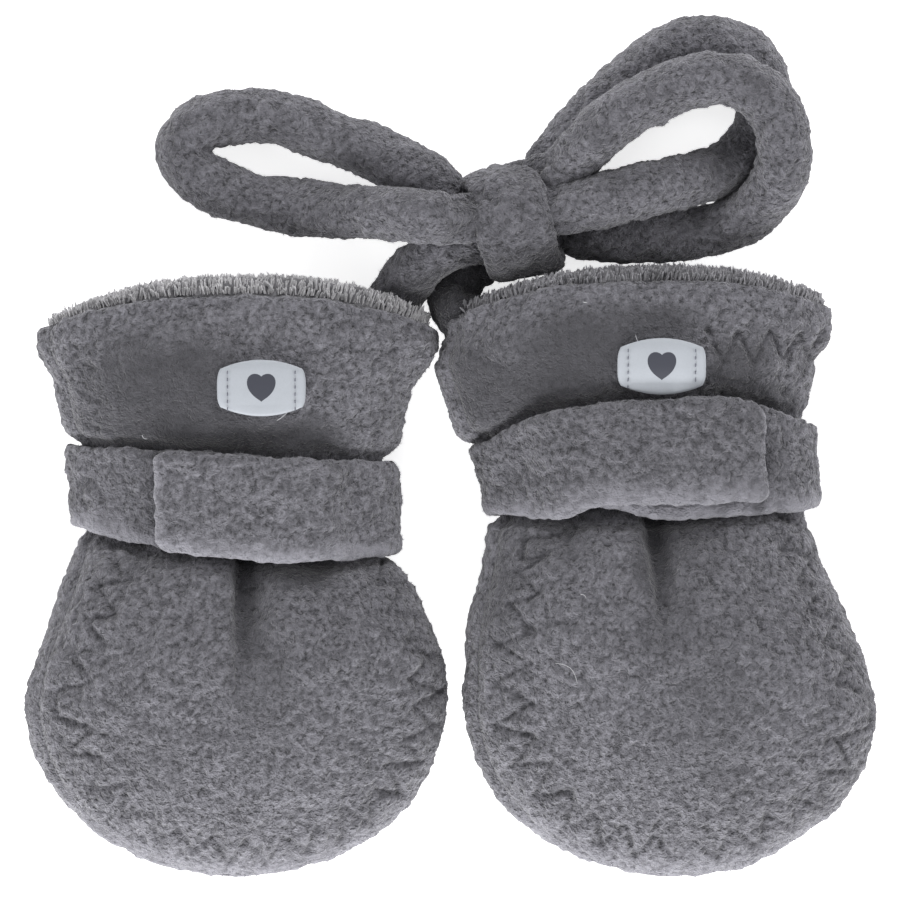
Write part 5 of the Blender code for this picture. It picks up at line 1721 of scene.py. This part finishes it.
class StageSettings(bpy.types.PropertyGroup):
    """Camera, floor and light."""
    frame_width: bpy.props.FloatProperty(
        name="Frame width", description="Breadth of what the camera sees", default=180 * MM,
        unit="LENGTH", subtype="DISTANCE")
    camera_height: bpy.props.FloatProperty(
        name="Camera height", description="Distance from the table up to the camera",
        default=1.4, unit="LENGTH", subtype="DISTANCE")
    view_x: bpy.props.FloatProperty(
        name="Middle across", description="Middle of the view across the pair",
        default=-0.2 * MM, unit="LENGTH", subtype="DISTANCE", precision=5)
    view_y: bpy.props.FloatProperty(
        name="Middle along", description="Middle of the view along the mittens",
        default=24.6 * MM, unit="LENGTH", subtype="DISTANCE", precision=5)
    sky: bpy.props.FloatProperty(
        name="Room light", description="Strength of the even light from all round",
        default=0.34, min=0.0)
    table_glow: bpy.props.FloatProperty(
        name="Table glow", description="Light that the table gives of itself", default=0.72,
        min=0.0)
    lamp: bpy.props.FloatProperty(
        name="Soft boxes", description="Power of all the soft boxes together", default=8.4,
        min=0.0, unit="POWER")
    floor_colour: colour_setting("Table", "Colour of the table", (0.93, 0.93, 0.93))


class MITTENS_OT_camera(bpy.types.Operator):
    """Set the camera straight above the pair"""
    bl_idname = "mittens.camera"
    bl_label = "Camera"

    def execute(self, context):
        stage = context.scene.mittens_stage
        bpy.ops.object.camera_add(location=(stage.view_x, stage.view_y, stage.camera_height),
                                  rotation=(0, 0, 0))
        camera = context.object
        camera.name = "camera"
        camera.data.sensor_width = SENSOR
        distance = stage.camera_height - MITTEN_MIDDLE * MM
        camera.data.lens = SENSOR * distance / stage.frame_width
        camera.data.clip_start, camera.data.clip_end = CLIP
        context.scene.camera = camera
        return {"FINISHED"}


class MITTENS_OT_cord(bpy.types.Operator):
    """Lay the cord and tie its bow"""
    bl_idname = "mittens.cord"
    bl_label = "Cord"

    def execute(self, context):
        fleece = context.scene.mittens_fleece
        material = fleece_finish("cord_fleece", fleece.cord_colour)
        piece, centre, length = build_cord(material, fleece.nap_height / MM)
        loose = fuzz("cord_nap", "cord", fleece.cord_fibres,
                     nap_finish("cord_nap", fleece.cord_colour), "cord_fleece",
                     np.random.default_rng(5))
        return {"FINISHED"}


class MITTENS_OT_panels(bpy.types.Operator):
    """Build the front and back of both mittens"""
    bl_idname = "mittens.panels"
    bl_label = "Front and back panels"

    def execute(self, context):
        fleece = context.scene.mittens_fleece
        material = fleece_finish("fleece", fleece.colour)
        for mitten, form in zip(MITTENS, FORMS):
            for side in ("front", "back"):
                build_panel(mitten, form, side, material, fleece.nap_height / MM)
        return {"FINISHED"}


class MITTENS_OT_linings(bpy.types.Operator):
    """Line the cuffs and set the pile along their rims"""
    bl_idname = "mittens.linings"
    bl_label = "Cuff linings"

    def execute(self, context):
        trim = context.scene.mittens_trim
        height = context.scene.mittens_fleece.nap_height / MM
        material = pile_finish("lining_pile", trim.pile_colour)
        for mitten, form, light in zip(MITTENS, FORMS, RIM_PILE_LIGHT):
            build_lining(mitten, form, material, height)
            # Each rim pile is a lighter copy of the lining's colour, the left lighter than the
            # right as painted light
            strands = pile_finish(f"{mitten.side}_rim_pile", shaded(trim.pile_colour, light)[:3])
            rim_pile(mitten, form, strands, np.random.default_rng(mitten.seed + 9))
        return {"FINISHED"}


class MITTENS_OT_straps(bpy.types.Operator):
    """Put the wrist straps round and close their tabs"""
    bl_idname = "mittens.straps"
    bl_label = "Straps and tabs"

    def execute(self, context):
        fleece = context.scene.mittens_fleece
        material = fleece_finish("strap_fleece", fleece.strap_colour)
        for mitten, form in zip(MITTENS, FORMS):
            build_strap(mitten, form, material, fleece.nap_height / MM)
            build_tab(mitten, form, material, fleece.nap_height / MM)
        return {"FINISHED"}


class MITTENS_OT_nap(bpy.types.Operator):
    """Set the nap's loose fibre ends on both mittens"""
    bl_idname = "mittens.nap"
    bl_label = "Loose nap"

    def execute(self, context):
        fleece = context.scene.mittens_fleece
        material = nap_finish("loose_nap", fleece.colour)
        for mitten in MITTENS:
            fuzz(f"{mitten.side}_nap", mitten.side, fleece.fibres, material, "fleece",
                 np.random.default_rng(mitten.seed + 70))
        return {"FINISHED"}


class MITTENS_OT_labels(bpy.types.Operator):
    """Sew the labels on and lay a few stray threads on the nap"""
    bl_idname = "mittens.labels"
    bl_label = "Labels and threads"

    def execute(self, context):
        trim = context.scene.mittens_trim
        cloth = label_finish("label", trim.label_colour, trim.print_colour)
        stitch = plain_finish("label_stitches", trim.stitch_colour, 0.8)
        for mitten, form in zip(MITTENS, FORMS):
            build_label(mitten, form, cloth)
            build_label_stitches(mitten, form, stitch)
        build_threads(FORMS, plain_finish("lint", trim.lint_colour, 0.8))
        return {"FINISHED"}


class MITTENS_OT_stage(bpy.types.Operator):
    """Lay the pale table and set the soft light"""
    bl_idname = "mittens.stage"
    bl_label = "Table and light"

    def execute(self, context):
        stage = context.scene.mittens_stage
        bpy.ops.object.select_all(action="DESELECT")
        bpy.ops.mesh.primitive_plane_add(size=TABLE_SIZE, location=(0, 0, 0))
        table = context.object
        table.name = "table"
        table.data.materials.append(table_finish(stage.floor_colour, stage.table_glow))
        for box in SOFT_BOXES:
            spot = Vector((box.x, box.y, box.z))
            bpy.ops.object.light_add(type="AREA", location=spot)
            lamp = context.object
            lamp.name = box.name
            lamp.data.shape = "DISK"
            lamp.data.size = box.breadth
            lamp.data.energy = stage.lamp * box.share
            lamp.rotation_euler = (-spot).to_track_quat("-Z", "Y").to_euler()
        world = bpy.data.worlds.new("room")
        context.scene.world = world
        world.use_nodes = True
        light = world.node_tree.nodes["Background"]
        light.inputs[0].default_value = (1, 1, 1, 1)
        light.inputs[1].default_value = stage.sky
        context.scene.view_settings.view_transform = "Standard"
        return {"FINISHED"}


BUILD_ORDER = (MITTENS_OT_camera, MITTENS_OT_cord, MITTENS_OT_panels, MITTENS_OT_linings,
               MITTENS_OT_straps, MITTENS_OT_nap, MITTENS_OT_labels, MITTENS_OT_stage)


class MITTENS_PT_build(bpy.types.Panel):
    """Everything that makes the mittens, in order"""
    bl_label = "Baby mittens"
    bl_idname = "MITTENS_PT_build"
    bl_space_type = "VIEW_3D"
    bl_region_type = "UI"
    bl_category = "Mittens"

    def draw(self, context):
        for group in ("mittens_fleece", "mittens_trim", "mittens_stage"):
            settings = getattr(context.scene, group)
            column = self.layout.column()
            for name in settings.__annotations__:
                column.prop(settings, name)
        for operator in BUILD_ORDER:
            self.layout.operator(operator.bl_idname)


SETTINGS = (("mittens_fleece", FleeceSettings), ("mittens_trim", TrimSettings),
            ("mittens_stage", StageSettings))
CLASSES = (FleeceSettings, TrimSettings, StageSettings, *BUILD_ORDER, MITTENS_PT_build)


def register():
    for kind in CLASSES:
        bpy.utils.register_class(kind)
    for name, kind in SETTINGS:
        setattr(bpy.types.Scene, name, bpy.props.PointerProperty(type=kind))


def unregister():
    for name, _ in SETTINGS:
        delattr(bpy.types.Scene, name)
    for kind in reversed(CLASSES):
        bpy.utils.unregister_class(kind)


def main():
    register()
    for operator in BUILD_ORDER:
        group, name = operator.bl_idname.split(".")
        getattr(getattr(bpy.ops, group), name)()


if __name__ == "__main__":
    main()
